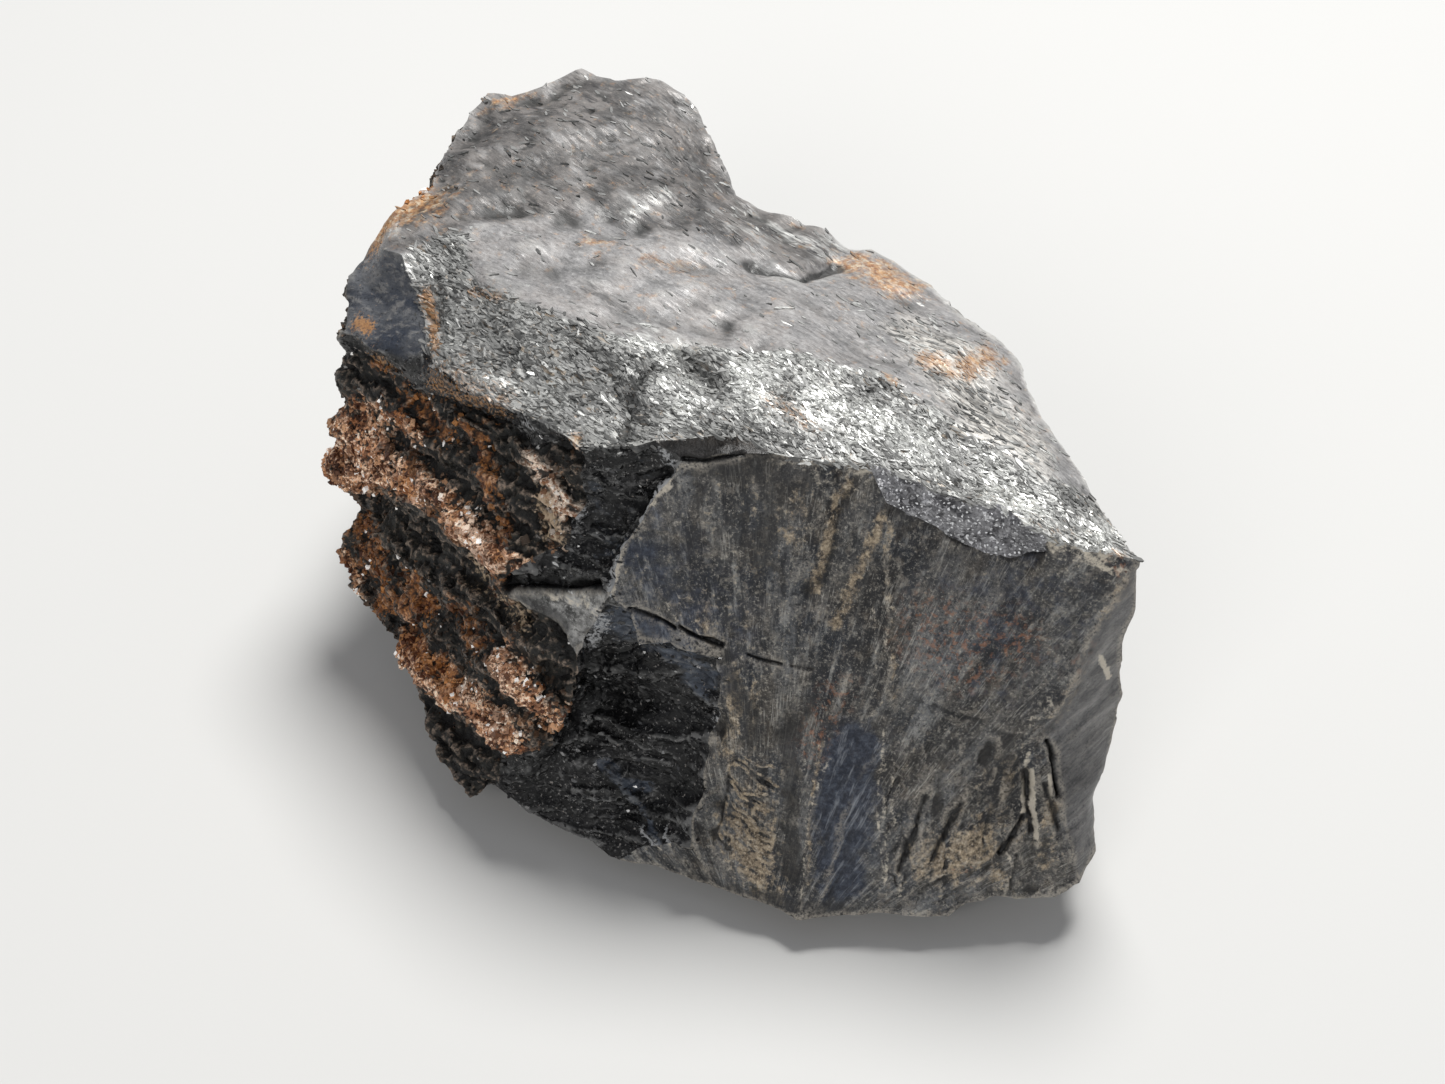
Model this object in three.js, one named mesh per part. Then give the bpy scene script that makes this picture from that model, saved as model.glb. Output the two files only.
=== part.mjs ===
// Tantalite crystal: one broken lump of a thick tabular crystal, a single solid.
// Millimetres. +X runs along the large dark face, +Y to the back, +Z up.
// The origin is in the flat facet the lump rests on.
//
// The lump is drawn as a cage of named corners and named faces. The faces are split
// finer, dished or bulged, and then given the lumps, ribs and ledges of their skin.
import * as THREE from 'three';

// ---- driving dimensions ----------------------------------------------------------

const SIZE_FACTOR = 1; // grows or shrinks the whole lump
const SKIN_BLEND_PASSES = 2; // how far one skin runs into the next
const NORMAL_SMOOTH_PASSES = 3; // how smooth the direction of the relief is
const WANDER = [[0.55, 6.5], [0.22, 2.6]]; // how far broken edges wander, over what length
const CORNER_HOLD = 2.5; // the corners stay put, and this far round them the wandering grows
const FOOT_CLEAR_HEIGHT = 2.5; // relief fades out over this height above the resting facet

// Each skin. edge: the longest triangle edge. ease: how often the creases between faces of
// this skin, or of one family of skins, are smoothed. lump: [height, size].
// ledge: [height, size, count]. rib: [height, pitch, direction across the ribs].
// streak: [height, length, width, direction along the streaks].
const CRUST_ACROSS = [0.14, 0.32, 0.94];
const TOP_ALONG = [0.73, -0.68, -0.08];
const SKINS = {
  satin: { family: 'top', edge: 2.7, ease: 6, lump: [0.2, 6], streak: [0.25, 9, 2.6, TOP_ALONG] },
  scaly: { family: 'top', edge: 2.4, ease: 6, lump: [0.3, 4.5], streak: [0.5, 9, 2.6, TOP_ALONG] },
  mottled: { family: 'top', edge: 2.7, ease: 6, lump: [0.5, 5], streak: [0.2, 9, 3, TOP_ALONG] },
  blue: { edge: 2.4, ease: 3, lump: [0.4, 4] },
  black: { edge: 2.25, ease: 1, lump: [0.5, 4.5], ledge: [0.5, 7, 3] },
  brown: { edge: 2.4, ease: 1, lump: [0.25, 4] },
  grey: { edge: 2.4, ease: 1, lump: [0.2, 5] },
  crust: { edge: 2.05, ease: 4, lump: [0.4, 3.6], rib: [0.4, 4, CRUST_ACROSS] },
  fracture: { family: 'face', edge: 3, ease: 9, lump: [0.3, 8] },
  striated: { family: 'face', edge: 2.5, ease: 6, lump: [0.25, 5], rib: [0.12, 3.2, [0.93, 0.36, 0]] },
  ribbed: { edge: 1.8, ease: 1, lump: [0.1, 3], rib: [0.18, 2.4, [0.5, 0.1, 0.86]] },
  chip: { edge: 2.2, ease: 1, lump: [0.3, 2.6] },
  side: { edge: 2.7, ease: 3, lump: [0.2, 6] },
  hidden: { edge: 3.2, ease: 2, lump: [0.45, 7], ledge: [0.5, 9, 3] },
  sole: { edge: 3.6, ease: 2, lump: [0.3, 6] },
  rest: { edge: 12, ease: 0 },
};

// ---- corners ---------------------------------------------------------------------

const CORNERS = {
  // the outline of the top, from the left corner round the back to the right-hand tip
  rim: [
    [-31.5, 14, 31], [-31.5, 18.5, 33.5], [-29.5, 21, 35.5], [-27.5, 22.5, 37.5],
    [-24.5, 25.5, 37.5], [-24, 30.5, 38], [-22.5, 34, 38.5], [-20.5, 37.5, 39],
    [-16, 38.5, 39.5], [-12.5, 40.5, 40], [-9.5, 38.5, 40], [-7, 39.5, 40], [-3.5, 37.5, 39],
    [-1, 33, 38], [0, 30, 37], [1, 26.5, 36], [5.5, 24, 36], [8.5, 22.5, 35.5],
    [10.5, 20.5, 34.5], [14.5, 19.5, 34.5], [17.5, 16, 34.5], [20, 11.5, 34.5], [23, 9, 34],
    [24.5, 3, 34], [25.5, 0, 34], [27.5, -6.5, 34], [29, -11, 33.5], [31.5, -16.5, 33],
  ],
  // the front edge of the top, from the left corner to the right-hand tip
  ridge: [
    [-28, 10, 32], [-24, 7.5, 34], [-21.5, 3, 35], [-18.5, 0, 35.5], [-14, -4.5, 36.5],
    [-11, -8, 37], [-8, -8.5, 37.5], [-5, -8.5, 38], [-0.5, -8.5, 38.5], [1.5, -8.5, 38.5],
    [4, -10, 38], [9.5, -10.5, 37.5], [11, -10.5, 37.5], [14, -11.5, 37], [17, -13, 36.5],
    [21, -13.5, 36], [24.5, -16, 35], [28.5, -16.5, 34],
  ],
  // the inner corners of the small block on the left
  nook: [[-26.5, 16, 37.5], [-25, 12, 36], [-22.5, 19, 38.5]],
  // the line where the flat top starts to roll down to its front edge
  fold: [
    [-22, 13, 38.5], [-14, 7, 39.5], [-6.5, 1.5, 39.5], [3, 2, 39], [12.5, 0, 38],
    [18.5, -5.5, 37], [24.5, -11.5, 35.5],
  ],
  // the foot of the low step behind the flat top
  bench: [[-11.5, 21.5, 39.5], [-8.5, 19, 39], [0, 17, 38], [6.5, 15.5, 36.5]],
  // the bottom of the dark band under the left front edge
  under: [[-32, 14.5, 29], [-26.5, 9.5, 30.5], [-22, 4, 32], [-18, 1, 32.5], [-14, -4, 33.5]],
  // the left outline of the crusted face, downwards
  flank: [
    [-33.5, 14.5, 27], [-33.5, 14.5, 24], [-33, 13.5, 19.5], [-34, 13, 15.5], [-33, 12, 13],
    [-34, 10, 9], [-32.5, 8.5, 7], [-30, 7.5, 5.5], [-28.5, 4.5, 5], [-27.5, 1, 5],
    [-26, -3.5, 5], [-24.5, -7.5, 4.5], [-22.5, -11.5, 4], [-21, -13.5, 3.5],
  ],
  // high and low points inside the crusted face
  crest: [
    [-20.5, -1, 28.5], [-24.5, 3, 22], [-16, -8, 24.5], [-22.5, -3, 16.5], [-24.5, -3, 9],
    [-18, -12.5, 15],
  ],
  // the right-hand boundary of the crusted face, downwards
  seam: [
    [-10.5, -7.5, 31], [-12, -8.5, 27.5], [-18, -7.5, 22], [-14, -10.5, 21.5],
    [-11.5, -13, 19.5], [-11.5, -14, 16.5], [-13, -14.5, 14], [-14, -14, 10.5], [-18, -13.5, 9],
    [-19, -13, 4],
  ],
  // the right-hand corner of the small pale wedge
  wedge: [[-11, -12, 20.5]],
  // the upper edge of the large dark face, below the chipped strip
  brow: [
    [-3, -9.5, 37], [12.5, -11.5, 34.5], [16, -12.5, 33], [18.5, -13, 31.5], [22, -14, 31],
    [24.5, -15, 32.5],
  ],
  // the lower corner of the brown band
  band: [[0, -10, 38]],
  // the left edge of the large dark face, downwards
  lip: [
    [-5.5, -11, 34], [-7.5, -12.5, 31], [-8.5, -13.5, 27], [-6.5, -15, 23], [-2.5, -16, 23],
    [-0.5, -16, 22.5], [0, -16.5, 19], [-1, -17.5, 15], [-1.5, -19.5, 11], [-2.5, -21.5, 6.5],
  ],
  // the shallow groove down the large dark face
  groove: [[9, -11.5, 34.5], [7, -14.5, 28], [6, -17.5, 20.5]],
  // the faint upright ridge on the large dark face
  spine: [[12.5, -17, 25], [13, -20.5, 16]],
  // the deep side of the crack beside the crusted face
  gap: [[-11, -10, 16.5], [-10.5, -10.5, 13], [-12.5, -12, 11], [-13.5, -13, 8]],
  // the floor of the lower hollow
  bed: [[-6, -14, 15], [-9.5, -15.5, 9], [-5, -20, 5]],
  // the lower outline under the hollow
  toe: [[-1, -22, 2.5], [-8.5, -19, 2], [-13.5, -16, 3], [-17.5, -13.5, 3.5]],
  // the lower front outline, left to right
  front: [
    [6, -26, 3], [12.5, -25.5, 3], [18, -26, 3], [19.5, -25.5, 4], [22, -25, 4.5],
    [26.5, -25, 4.5], [28.5, -24, 5],
  ],
  // the right-hand outline, downwards
  side: [
    [31.5, -16.5, 28], [31, -16, 21], [31, -16.5, 17], [31, -17, 13], [30, -18.5, 9],
    [30, -21.5, 6],
  ],
  // the edge between the large dark face and the narrow right-hand face
  keel: [
    [30.5, -17, 32], [29, -17, 28], [27.5, -17.5, 25], [26.5, -18, 21], [25, -19, 17.5],
    [26.5, -21, 12.5], [28, -23, 7.5],
  ],
  // the outline of the small ribbed face, clockwise from its upper left corner
  rib: [
    [1, -18.5, 14.5], [5, -20, 14.5], [4.5, -21, 11.5], [4, -22.5, 8], [3, -24, 4.5],
    [-1, -21.5, 6], [0, -20, 8], [0.5, -19, 10.5],
  ],
  // the widest line of the hidden side, from the left round to the right
  back: [
    [-32, 19, 20], [-29.5, 27.5, 19], [-24, 37, 21], [-13, 42, 22], [-3, 40, 20], [5, 32, 17],
    [14, 26, 19], [24, 15, 18], [28.5, 4, 16], [30.5, -8, 18],
  ],
  // the lower edge of the hidden side
  heel: [
    [-29, 14, 4.5], [-25, 27, 5], [-14, 35, 7], [-1, 31, 4], [10, 24, 5.5], [21, 11, 4],
    [28, -3, 5], [29.5, -13, 6.5],
  ],
  // the flat facet it rests on
  foot: [
    [-22, 9, 0], [-20, -4, 0], [-12, -10, 0], [0, -17, 0], [11, -20, 0], [22, -18, 0],
    [25, -8, 0], [18, 6, 0], [6, 18, 0], [-8, 25, 0], [-19, 19, 0],
  ],
};

// ---- faces: name, skin, depth of the dish (below zero it bulges), corners ---------

const FACES = [
  ['corner block', 'blue', 0, 'ridge0 ridge1 nook1 nook0 rim2 rim1 rim0'],
  ['rust corner', 'mottled', -0.5, 'rim2 nook0 nook2 rim4 rim3'],
  ['far top', 'mottled', -1,
    'rim4 nook2 bench0 bench1 bench2 rim15 rim14 rim13 rim12 rim11 rim10 rim9 rim8 rim7 rim6 rim5'],
  ['shelf', 'mottled', 0, 'bench2 bench3 rim18 rim17 rim16 rim15'],
  ['mid left', 'satin', 0, 'nook2 fold0 fold1 fold2 bench1 bench0'],
  ['mid centre', 'satin', 0, 'bench1 fold2 fold3 fold4 bench3 bench2'],
  ['mid right', 'satin', 0, 'bench3 fold4 fold5 rim21 rim20 rim19 rim18'],
  ['mid end', 'satin', 0, 'fold5 fold6 rim26 rim25 rim24 rim23 rim22 rim21'],
  ['slope left', 'scaly', 0, 'nook0 nook1 ridge1 ridge2 fold0 nook2'],
  ['slope a', 'scaly', 0, 'fold0 ridge2 ridge3 ridge4 fold1'],
  ['slope b', 'scaly', 0, 'fold1 ridge4 ridge5 ridge6 ridge7 fold2'],
  ['slope c', 'scaly', 0, 'fold2 ridge7 ridge8 ridge9 ridge10 fold3'],
  ['slope d', 'scaly', 0, 'fold3 ridge10 ridge11 ridge12 fold4'],
  ['slope e', 'scaly', 0, 'fold4 ridge12 ridge13 ridge14 fold5'],
  ['slope f', 'scaly', 0, 'fold5 ridge14 ridge15 ridge16 fold6'],
  ['slope g', 'scaly', 0, 'fold6 ridge16 ridge17 rim27 rim26'],
  ['under a', 'black', 0, 'under0 under1 under2 ridge2 ridge1 ridge0 rim0'],
  ['under b', 'black', 0, 'under2 under3 under4 ridge5 ridge4 ridge3 ridge2'],
  ['crust top', 'crust', -0.6, 'flank0 flank1 flank2 flank3 crest1 crest0 under2 under1 under0'],
  ['crust right', 'crust', -0.5, 'under2 crest0 crest2 seam1 seam0 ridge5 under4 under3'],
  ['crust band', 'crust', -0.7, 'crest1 seam2 crest2 crest0'],
  ['crust left', 'crust', 1, 'flank3 flank4 flank5 flank6 flank7 flank8 crest3 crest1'],
  ['crust mid', 'crust', 0.6, 'crest1 crest3 crest5 seam3 seam2'],
  ['crust low a', 'crust', 0, 'crest3 flank8 flank9 crest4 crest5'],
  ['crust low b', 'crust', 0.5, 'crest4 flank10 flank11 flank12 seam8 crest5'],
  ['crust low c', 'crust', -0.7, 'crest5 seam8 seam7 seam6 seam5 seam4 seam3'],
  ['crust toe', 'crust', 0, 'flank12 flank13 seam9 seam8'],
  ['hollow top', 'black', 2.2, 'ridge5 seam0 seam1 lip2 lip1 lip0 brow0 ridge7 ridge6'],
  ['hollow slit', 'black', 0.8, 'seam1 crest2 seam2 lip2'],
  ['band top', 'brown', 0, 'ridge7 brow0 band0 ridge10 ridge9 ridge8'],
  ['wedge face', 'grey', 0.2, 'seam2 seam3 seam4 wedge0 lip2'],
  ['wall a', 'black', 0, 'seam4 gap0 wedge0'],
  ['wall b', 'black', 0, 'seam4 seam5 gap1 gap0'],
  ['wall c', 'black', 0, 'seam5 seam6 gap2 gap1'],
  ['wall d', 'black', 0, 'seam6 seam7 gap3 gap2'],
  ['hollow mid', 'black', 1.2, 'wedge0 gap0 gap1 bed0 lip7 lip6 lip5 lip4 lip3 lip2'],
  ['hollow low', 'black', 0.8, 'gap1 gap2 gap3 bed1 bed0'],
  ['hollow right', 'black', 0.6, 'bed0 bed1 bed2 lip9 lip8 lip7'],
  ['hollow foot', 'black', 0.8, 'gap3 toe3 toe2 toe1 bed2 bed1'],
  ['toe right', 'black', 0, 'seam7 seam8 seam9 toe3 gap3'],
  ['face left', 'fracture', 0.5,
    'brow0 lip0 lip1 lip2 lip3 lip4 lip5 groove2 groove1 groove0 ridge11 ridge10 band0'],
  ['face mid', 'fracture', 0, 'ridge11 groove0 groove1 groove2 spine1 spine0 brow1 ridge12'],
  ['face right', 'fracture', 0,
    'brow1 spine0 spine1 keel4 keel3 keel2 keel1 keel0 ridge17 ridge16 brow5 brow4 brow3 brow2'],
  ['tip', 'fracture', 0, 'ridge17 keel0 rim27'],
  ['chip', 'chip', 0.3, 'ridge12 brow1 brow2 brow3 brow4 brow5 ridge16 ridge15 ridge14 ridge13'],
  ['face inner', 'fracture', 0, 'lip5 lip6 lip7 rib0 rib1 groove2'],
  ['face low', 'fracture', 0, 'groove2 rib1 rib2 rib3 rib4 front0 front1 spine1'],
  ['face end', 'striated', 0, 'spine1 front1 front2 front3 front4 front5 front6 keel6 keel5 keel4'],
  ['rib face', 'ribbed', 0, 'rib0 rib7 rib6 rib5 rib4 rib3 rib2 rib1'],
  ['rib edge', 'fracture', 0, 'lip7 lip8 lip9 rib5 rib6 rib7 rib0'],
  ['rib foot', 'fracture', 0, 'lip9 bed2 toe1 toe0 front0 rib4 rib5'],
  ['side a', 'side', 0.2, 'rim27 keel0 keel1 keel2 keel3 side1 side0'],
  ['side b', 'side', 0, 'side1 keel3 keel4 keel5 side3 side2'],
  ['side c', 'side', 0, 'side3 keel5 keel6 front6 side5 side4'],
  ['right a', 'hidden', 0.8, 'rim27 side0 side1 back9 back8 rim24 rim25 rim26'],
  ['right b', 'hidden', 0.8, 'side1 side2 side3 side4 side5 heel7 back9'],
  ['right c', 'hidden', -0.6, 'back9 heel7 heel6 back8'],
  ['right d', 'hidden', 1.2, 'rim24 back8 back7 rim21 rim22 rim23'],
  ['right e', 'hidden', -0.8, 'back8 heel6 heel5 back7'],
  ['right f', 'hidden', 0.8, 'rim21 back7 back6 rim18 rim19 rim20'],
  ['right g', 'hidden', 1, 'back7 heel5 heel4 back6'],
  ['rear a', 'hidden', 1.2, 'rim18 back6 back5 rim15 rim16 rim17'],
  ['rear b', 'hidden', -0.8, 'back6 heel4 heel3 back5'],
  ['rear c', 'hidden', 1.4, 'rim15 back5 back4 rim12 rim13 rim14'],
  ['rear d', 'hidden', 0.8, 'back5 heel3 back4'],
  ['rear e', 'hidden', -0.8, 'rim12 back4 back3 rim9 rim10 rim11'],
  ['rear f', 'hidden', 1.2, 'back4 heel3 heel2 back3'],
  ['rear g', 'hidden', 0.6, 'rim9 back3 back2 rim6 rim7 rim8'],
  ['rear h', 'hidden', -0.6, 'back3 heel2 back2'],
  ['left a', 'crust', 0.8, 'rim6 back2 back1 rim3 rim4 rim5'],
  ['left b', 'hidden', -0.6, 'back2 heel2 heel1 back1'],
  ['left c', 'hidden', 0.5, 'rim3 back1 back0 rim1 rim2'],
  ['left d', 'hidden', 0.8, 'back1 heel1 heel0 back0'],
  ['left e', 'crust', 0.4, 'rim1 back0 flank3 flank2 flank1 flank0 under0 rim0'],
  ['left f', 'hidden', 0.6, 'back0 heel0 flank6 flank5 flank4 flank3'],
  ['sole a', 'sole', 0, 'flank6 heel0 foot0 flank8 flank7'],
  ['sole b', 'sole', 0, 'flank8 foot0 foot1 flank11 flank10 crest4 flank9'],
  ['sole c', 'sole', 0, 'flank11 foot1 foot2 toe3 seam9 flank13 flank12'],
  ['sole d', 'sole', 0, 'toe3 foot2 foot3 toe1 toe2'],
  ['sole e', 'sole', 0, 'toe1 foot3 foot4 front0 toe0'],
  ['sole f', 'sole', 0, 'front0 foot4 foot5 front2 front1'],
  ['sole g', 'sole', 0, 'front2 foot5 front5 front4 front3'],
  ['sole h', 'sole', 0, 'front5 foot5 foot6 heel7 side5 front6'],
  ['sole i', 'sole', 0, 'heel7 foot6 foot7 heel5 heel6'],
  ['sole j', 'sole', 0, 'heel5 foot7 foot8 heel4'],
  ['sole k', 'sole', 0, 'heel4 foot8 foot9 heel2 heel3'],
  ['sole l', 'sole', 0, 'heel2 foot9 foot10 heel1'],
  ['sole m', 'sole', 0, 'heel1 foot10 foot0 heel0'],
  ['rest', 'rest', 0, 'foot0 foot10 foot9 foot8 foot7 foot6 foot5 foot4 foot3 foot2 foot1'],
];

// ---- single ridges, troughs and steps: height, half width, line along the skin ----

const STROKES = [
  // the pale rib across the crusted face, with the troughs above and below it
  [1.1, 2, [[-33.5, 12.5, 17], [-28, 7.5, 22.5], [-24, 3, 23.5], [-20, -3.5, 23.5], [-15.5, -8, 24.5]]],
  [-0.9, 1.4, [[-26.5, 6.5, 24.5], [-24, 3, 26], [-21.5, 0.5, 27], [-18, -5, 26.5]]],
  [-1.2, 1.9, [[-33, 12, 13.5], [-27.5, 5.5, 18], [-23.5, 0, 19.5], [-20, -4.5, 21]]],
  // the pad and the knob of crust
  [0.7, 1.5, [[-15, -4, 32], [-12.5, -6.5, 32.5], [-12.5, -8, 29]]],
  [0.8, 2, [[-29.5, 6.5, 7], [-26, 0.5, 12.5]]],
  // the two ribs low on the crusted face and the trough between them
  [1, 2, [[-27, -0.5, 7], [-23.5, -5, 9], [-20, -11, 11], [-17, -13.5, 10.5]]],
  [0.8, 1.3, [[-18, -10.5, 17], [-15.5, -12.5, 15.5], [-13, -14.5, 13.5]]],
  [-0.6, 1, [[-17, -11.5, 17], [-15, -13, 15], [-14, -13.5, 13.5]]],
  // the torn notch and the little step at the front of the top
  [-0.9, 1.3, [[-3, 1, 39.5], [-2, -0.5, 39], [-0.5, -2, 39]]],
  [-0.5, 1.2, [[-5.5, -0.5, 39], [-7.5, -3.5, 38.5], [-8, -8, 37.5]]],
  // the step at the near side of the far lump, and the fissure behind the flat top
  [-0.5, 1.5, [[-21, 21, 38.5], [-17, 21, 39], [-10, 19.5, 39]]],
  [-0.5, 1.2, [[2.5, 15, 37.5], [6.5, 14, 37], [9.5, 17, 35.5]]],
  // the groove and the faint spine down the large dark face
  [-0.4, 1.4, [[9.5, -11, 36.5], [9, -12, 33], [7, -14.5, 28]]],
  [0.3, 1.2, [[12.5, -11.5, 34.5], [12.5, -15.5, 28], [12.5, -19, 20.5]]],
  // the fold down the large dark face, and the trough on its left
  [0.5, 1.8, [[9.5, -18, 21], [8, -19, 17.5], [7, -22, 10.5], [6.5, -25.5, 4.5]]],
  [-0.5, 1.8, [[6.5, -18, 19.5], [5, -20, 14], [5, -24, 5.5]]],
  [0.35, 1.3, [[2, -16.5, 22], [1.5, -17.5, 18.5], [1, -18.5, 15]]],
  [-0.3, 1.3, [[12, -12, 33.5], [10.5, -14, 29.5], [8.5, -16, 25]]],
  // the rounded ledge where it turns to the narrow right-hand face
  [0.5, 1.8, [[29.5, -17, 29.5], [27.5, -17.5, 24.5], [25.5, -18, 20.5], [22, -19.5, 17]]],
  // the steps across the lower hollow
  [0.5, 1.3, [[-9, -11.5, 16], [-5, -14.5, 18.5], [-1, -16.5, 18]]],
  [-0.7, 1.2, [[-9.5, -11.5, 14], [-6, -14, 15.5], [-2.5, -16.5, 16.5], [-0.5, -17.5, 16]]],
  [-0.5, 1.2, [[-10, -15, 9.5], [-6.5, -16.5, 10.5], [-2.5, -19, 10.5]]],
  // the pits on the far lump
  [-0.4, 1.8, [[-13.5, 19, 39.5], [-10, 17.5, 39], [-7, 18, 39]]],
  [0.4, 2, [[-21.5, 29, 38], [-17.5, 31.5, 38.5], [-13, 30, 38.5]]],
];

// ---- noise ------------------------------------------------------------------------

function cellValue(x, y, z) {
  const wave = Math.sin(x * 12.9898 + y * 78.233 + z * 37.719) * 43758.5453;
  return wave - Math.floor(wave);
}

// Smooth noise between -1 and 1 that repeats nowhere on the lump.
function noise(point, size, shift = 0) {
  const [x, y, z] = [point.x / size + shift, point.y / size + shift, point.z / size + shift];
  const [cx, cy, cz] = [Math.floor(x), Math.floor(y), Math.floor(z)];
  const ease = (t) => t * t * (3 - 2 * t);
  const [u, v, w] = [ease(x - cx), ease(y - cy), ease(z - cz)];
  const mix = THREE.MathUtils.lerp;
  const row = (j, k) => mix(cellValue(cx, cy + j, cz + k), cellValue(cx + 1, cy + j, cz + k), u);
  return 2 * mix(mix(row(0, 0), row(1, 0), v), mix(row(0, 1), row(1, 1), v), w) - 1;
}

// ---- cage -------------------------------------------------------------------------

function cornerPoint(name) {
  const [, group, place] = name.match(/^([a-z]+)(\d+)$/);
  return new THREE.Vector3(...CORNERS[group][Number(place)]);
}

// A fan of triangles for every face, round a middle point that is its deepest.
function buildCage() {
  const places = new Map();
  const points = [];
  const depths = [];
  const triangles = [];
  FACES.forEach(([, , , loop], face) => {
    const ring = loop.split(' ').map((name) => {
      if (!places.has(name)) {
        places.set(name, points.length);
        points.push(cornerPoint(name));
        depths.push(0);
      }
      return places.get(name);
    });
    const middle = new THREE.Vector3();
    ring.forEach((place) => middle.addScaledVector(points[place], 1 / ring.length));
    const centre = points.length;
    points.push(middle);
    depths.push(1);
    ring.forEach((place, i) => {
      triangles.push({ corners: [centre, place, ring[(i + 1) % ring.length]], face });
    });
  });
  return { points, depths, triangles };
}

function edgeKey(a, b) {
  return a < b ? `${a} ${b}` : `${b} ${a}`;
}

// The longest each edge may be: the smaller limit of the two skins it lies between.
function edgeLimits(triangles) {
  const limits = new Map();
  triangles.forEach(({ corners: [a, b, c], face }) => {
    const limit = SKINS[FACES[face][1]].edge;
    [edgeKey(a, b), edgeKey(b, c), edgeKey(c, a)].forEach((key) => {
      limits.set(key, Math.min(limit, limits.get(key) ?? Infinity));
    });
  });
  return limits;
}

// Halves every edge that is too long, until none is; neighbours share the new points.
function splitLongEdges(cage) {
  const { points, depths } = cage;
  let { triangles } = cage;
  for (;;) {
    const limits = edgeLimits(triangles);
    const halves = new Map();
    const half = (a, b) => {
      const key = edgeKey(a, b);
      if (points[a].distanceTo(points[b]) <= limits.get(key)) return -1;
      if (!halves.has(key)) {
        halves.set(key, points.length);
        points.push(points[a].clone().lerp(points[b], 0.5));
        depths.push((depths[a] + depths[b]) / 2);
      }
      return halves.get(key);
    };
    const finer = [];
    triangles.forEach(({ corners, face }) => {
      splitTriangle(corners, half, points).forEach((piece) => finer.push({ corners: piece, face }));
    });
    triangles = finer;
    if (halves.size === 0) return { points, depths, triangles };
  }
}

// One triangle into one to four, depending on which of its edges are halved.
function splitTriangle([a, b, c], half, points) {
  const [ab, bc, ca] = [half(a, b), half(b, c), half(c, a)];
  const cuts = [ab, bc, ca].filter((place) => place >= 0).length;
  if (cuts === 0) return [[a, b, c]];
  if (cuts === 3) return [[a, ab, ca], [ab, b, bc], [ca, bc, c], [ab, bc, ca]];
  if (cuts === 1) {
    if (ab >= 0) return [[a, ab, c], [ab, b, c]];
    if (bc >= 0) return [[b, bc, a], [bc, c, a]];
    return [[c, ca, b], [ca, a, b]];
  }
  if (ab < 0) return cornerAndQuad(c, a, b, ca, bc, points);
  if (bc < 0) return cornerAndQuad(a, b, c, ab, ca, points);
  return cornerAndQuad(b, c, a, bc, ab, points);
}

// The tip of a triangle, cut off, and the four-sided rest cut along its shorter diagonal.
function cornerAndQuad(tip, next, last, onNext, onLast, points) {
  const first = points[onNext].distanceTo(points[last]);
  const second = points[next].distanceTo(points[onLast]);
  const tipPiece = [tip, onNext, onLast];
  if (first < second) return [tipPiece, [onNext, next, last], [onNext, last, onLast]];
  return [tipPiece, [onNext, next, onLast], [next, last, onLast]];
}

// ---- skin -------------------------------------------------------------------------

function triangleNormal(points, [a, b, c]) {
  const side = points[b].clone().sub(points[a]);
  return side.cross(points[c].clone().sub(points[a]));
}

function neighbourLists(count, triangles) {
  const lists = Array.from({ length: count }, () => new Set());
  triangles.forEach(({ corners: [a, b, c] }) => {
    lists[a].add(b).add(c);
    lists[b].add(c).add(a);
    lists[c].add(a).add(b);
  });
  return lists.map((list) => [...list]);
}

// Dishes and bulges, along the mean normal of each face.
function dishFaces({ points, depths, triangles }) {
  const normals = FACES.map(() => new THREE.Vector3());
  triangles.forEach(({ corners, face }) => normals[face].add(triangleNormal(points, corners)));
  normals.forEach((normal) => normal.normalize());
  const moved = new Set();
  triangles.forEach(({ corners, face }) => {
    corners.forEach((place) => {
      if (moved.has(place) || depths[place] === 0) return;
      moved.add(place);
      const share = 1 - (1 - depths[place]) ** 2;
      points[place].addScaledVector(normals[face], -FACES[face][2] * share);
    });
  });
}

// Smooths the creases inside a family of skins and leaves its borders as they are.
function easeCreases({ points, triangles }, neighbours) {
  const families = points.map(() => new Set());
  const passes = points.map(() => 0);
  triangles.forEach(({ corners, face }) => {
    const skin = FACES[face][1];
    corners.forEach((place) => {
      families[place].add(SKINS[skin].family ?? skin);
      passes[place] = families[place].size === 1 ? SKINS[skin].ease : 0;
    });
  });
  for (let pass = 0; pass < Math.max(...passes); pass += 1) {
    const eased = points.map((point, place) => {
      if (pass >= passes[place]) return point;
      const sum = point.clone();
      neighbours[place].forEach((other) => sum.add(points[other]));
      return sum.divideScalar(neighbours[place].length + 1);
    });
    points.forEach((point, place) => point.copy(eased[place]));
  }
}

// The outward direction at each point, smoothed over its neighbours.
function smoothNormals({ points, triangles }, neighbours) {
  let normals = points.map(() => new THREE.Vector3());
  triangles.forEach(({ corners }) => {
    const normal = triangleNormal(points, corners);
    corners.forEach((place) => normals[place].add(normal));
  });
  normals.forEach((normal) => normal.normalize());
  for (let pass = 0; pass < NORMAL_SMOOTH_PASSES; pass += 1) {
    normals = normals.map((normal, place) => {
      const sum = normal.clone();
      neighbours[place].forEach((other) => sum.add(normals[other]));
      return sum.normalize();
    });
  }
  return normals;
}

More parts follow.
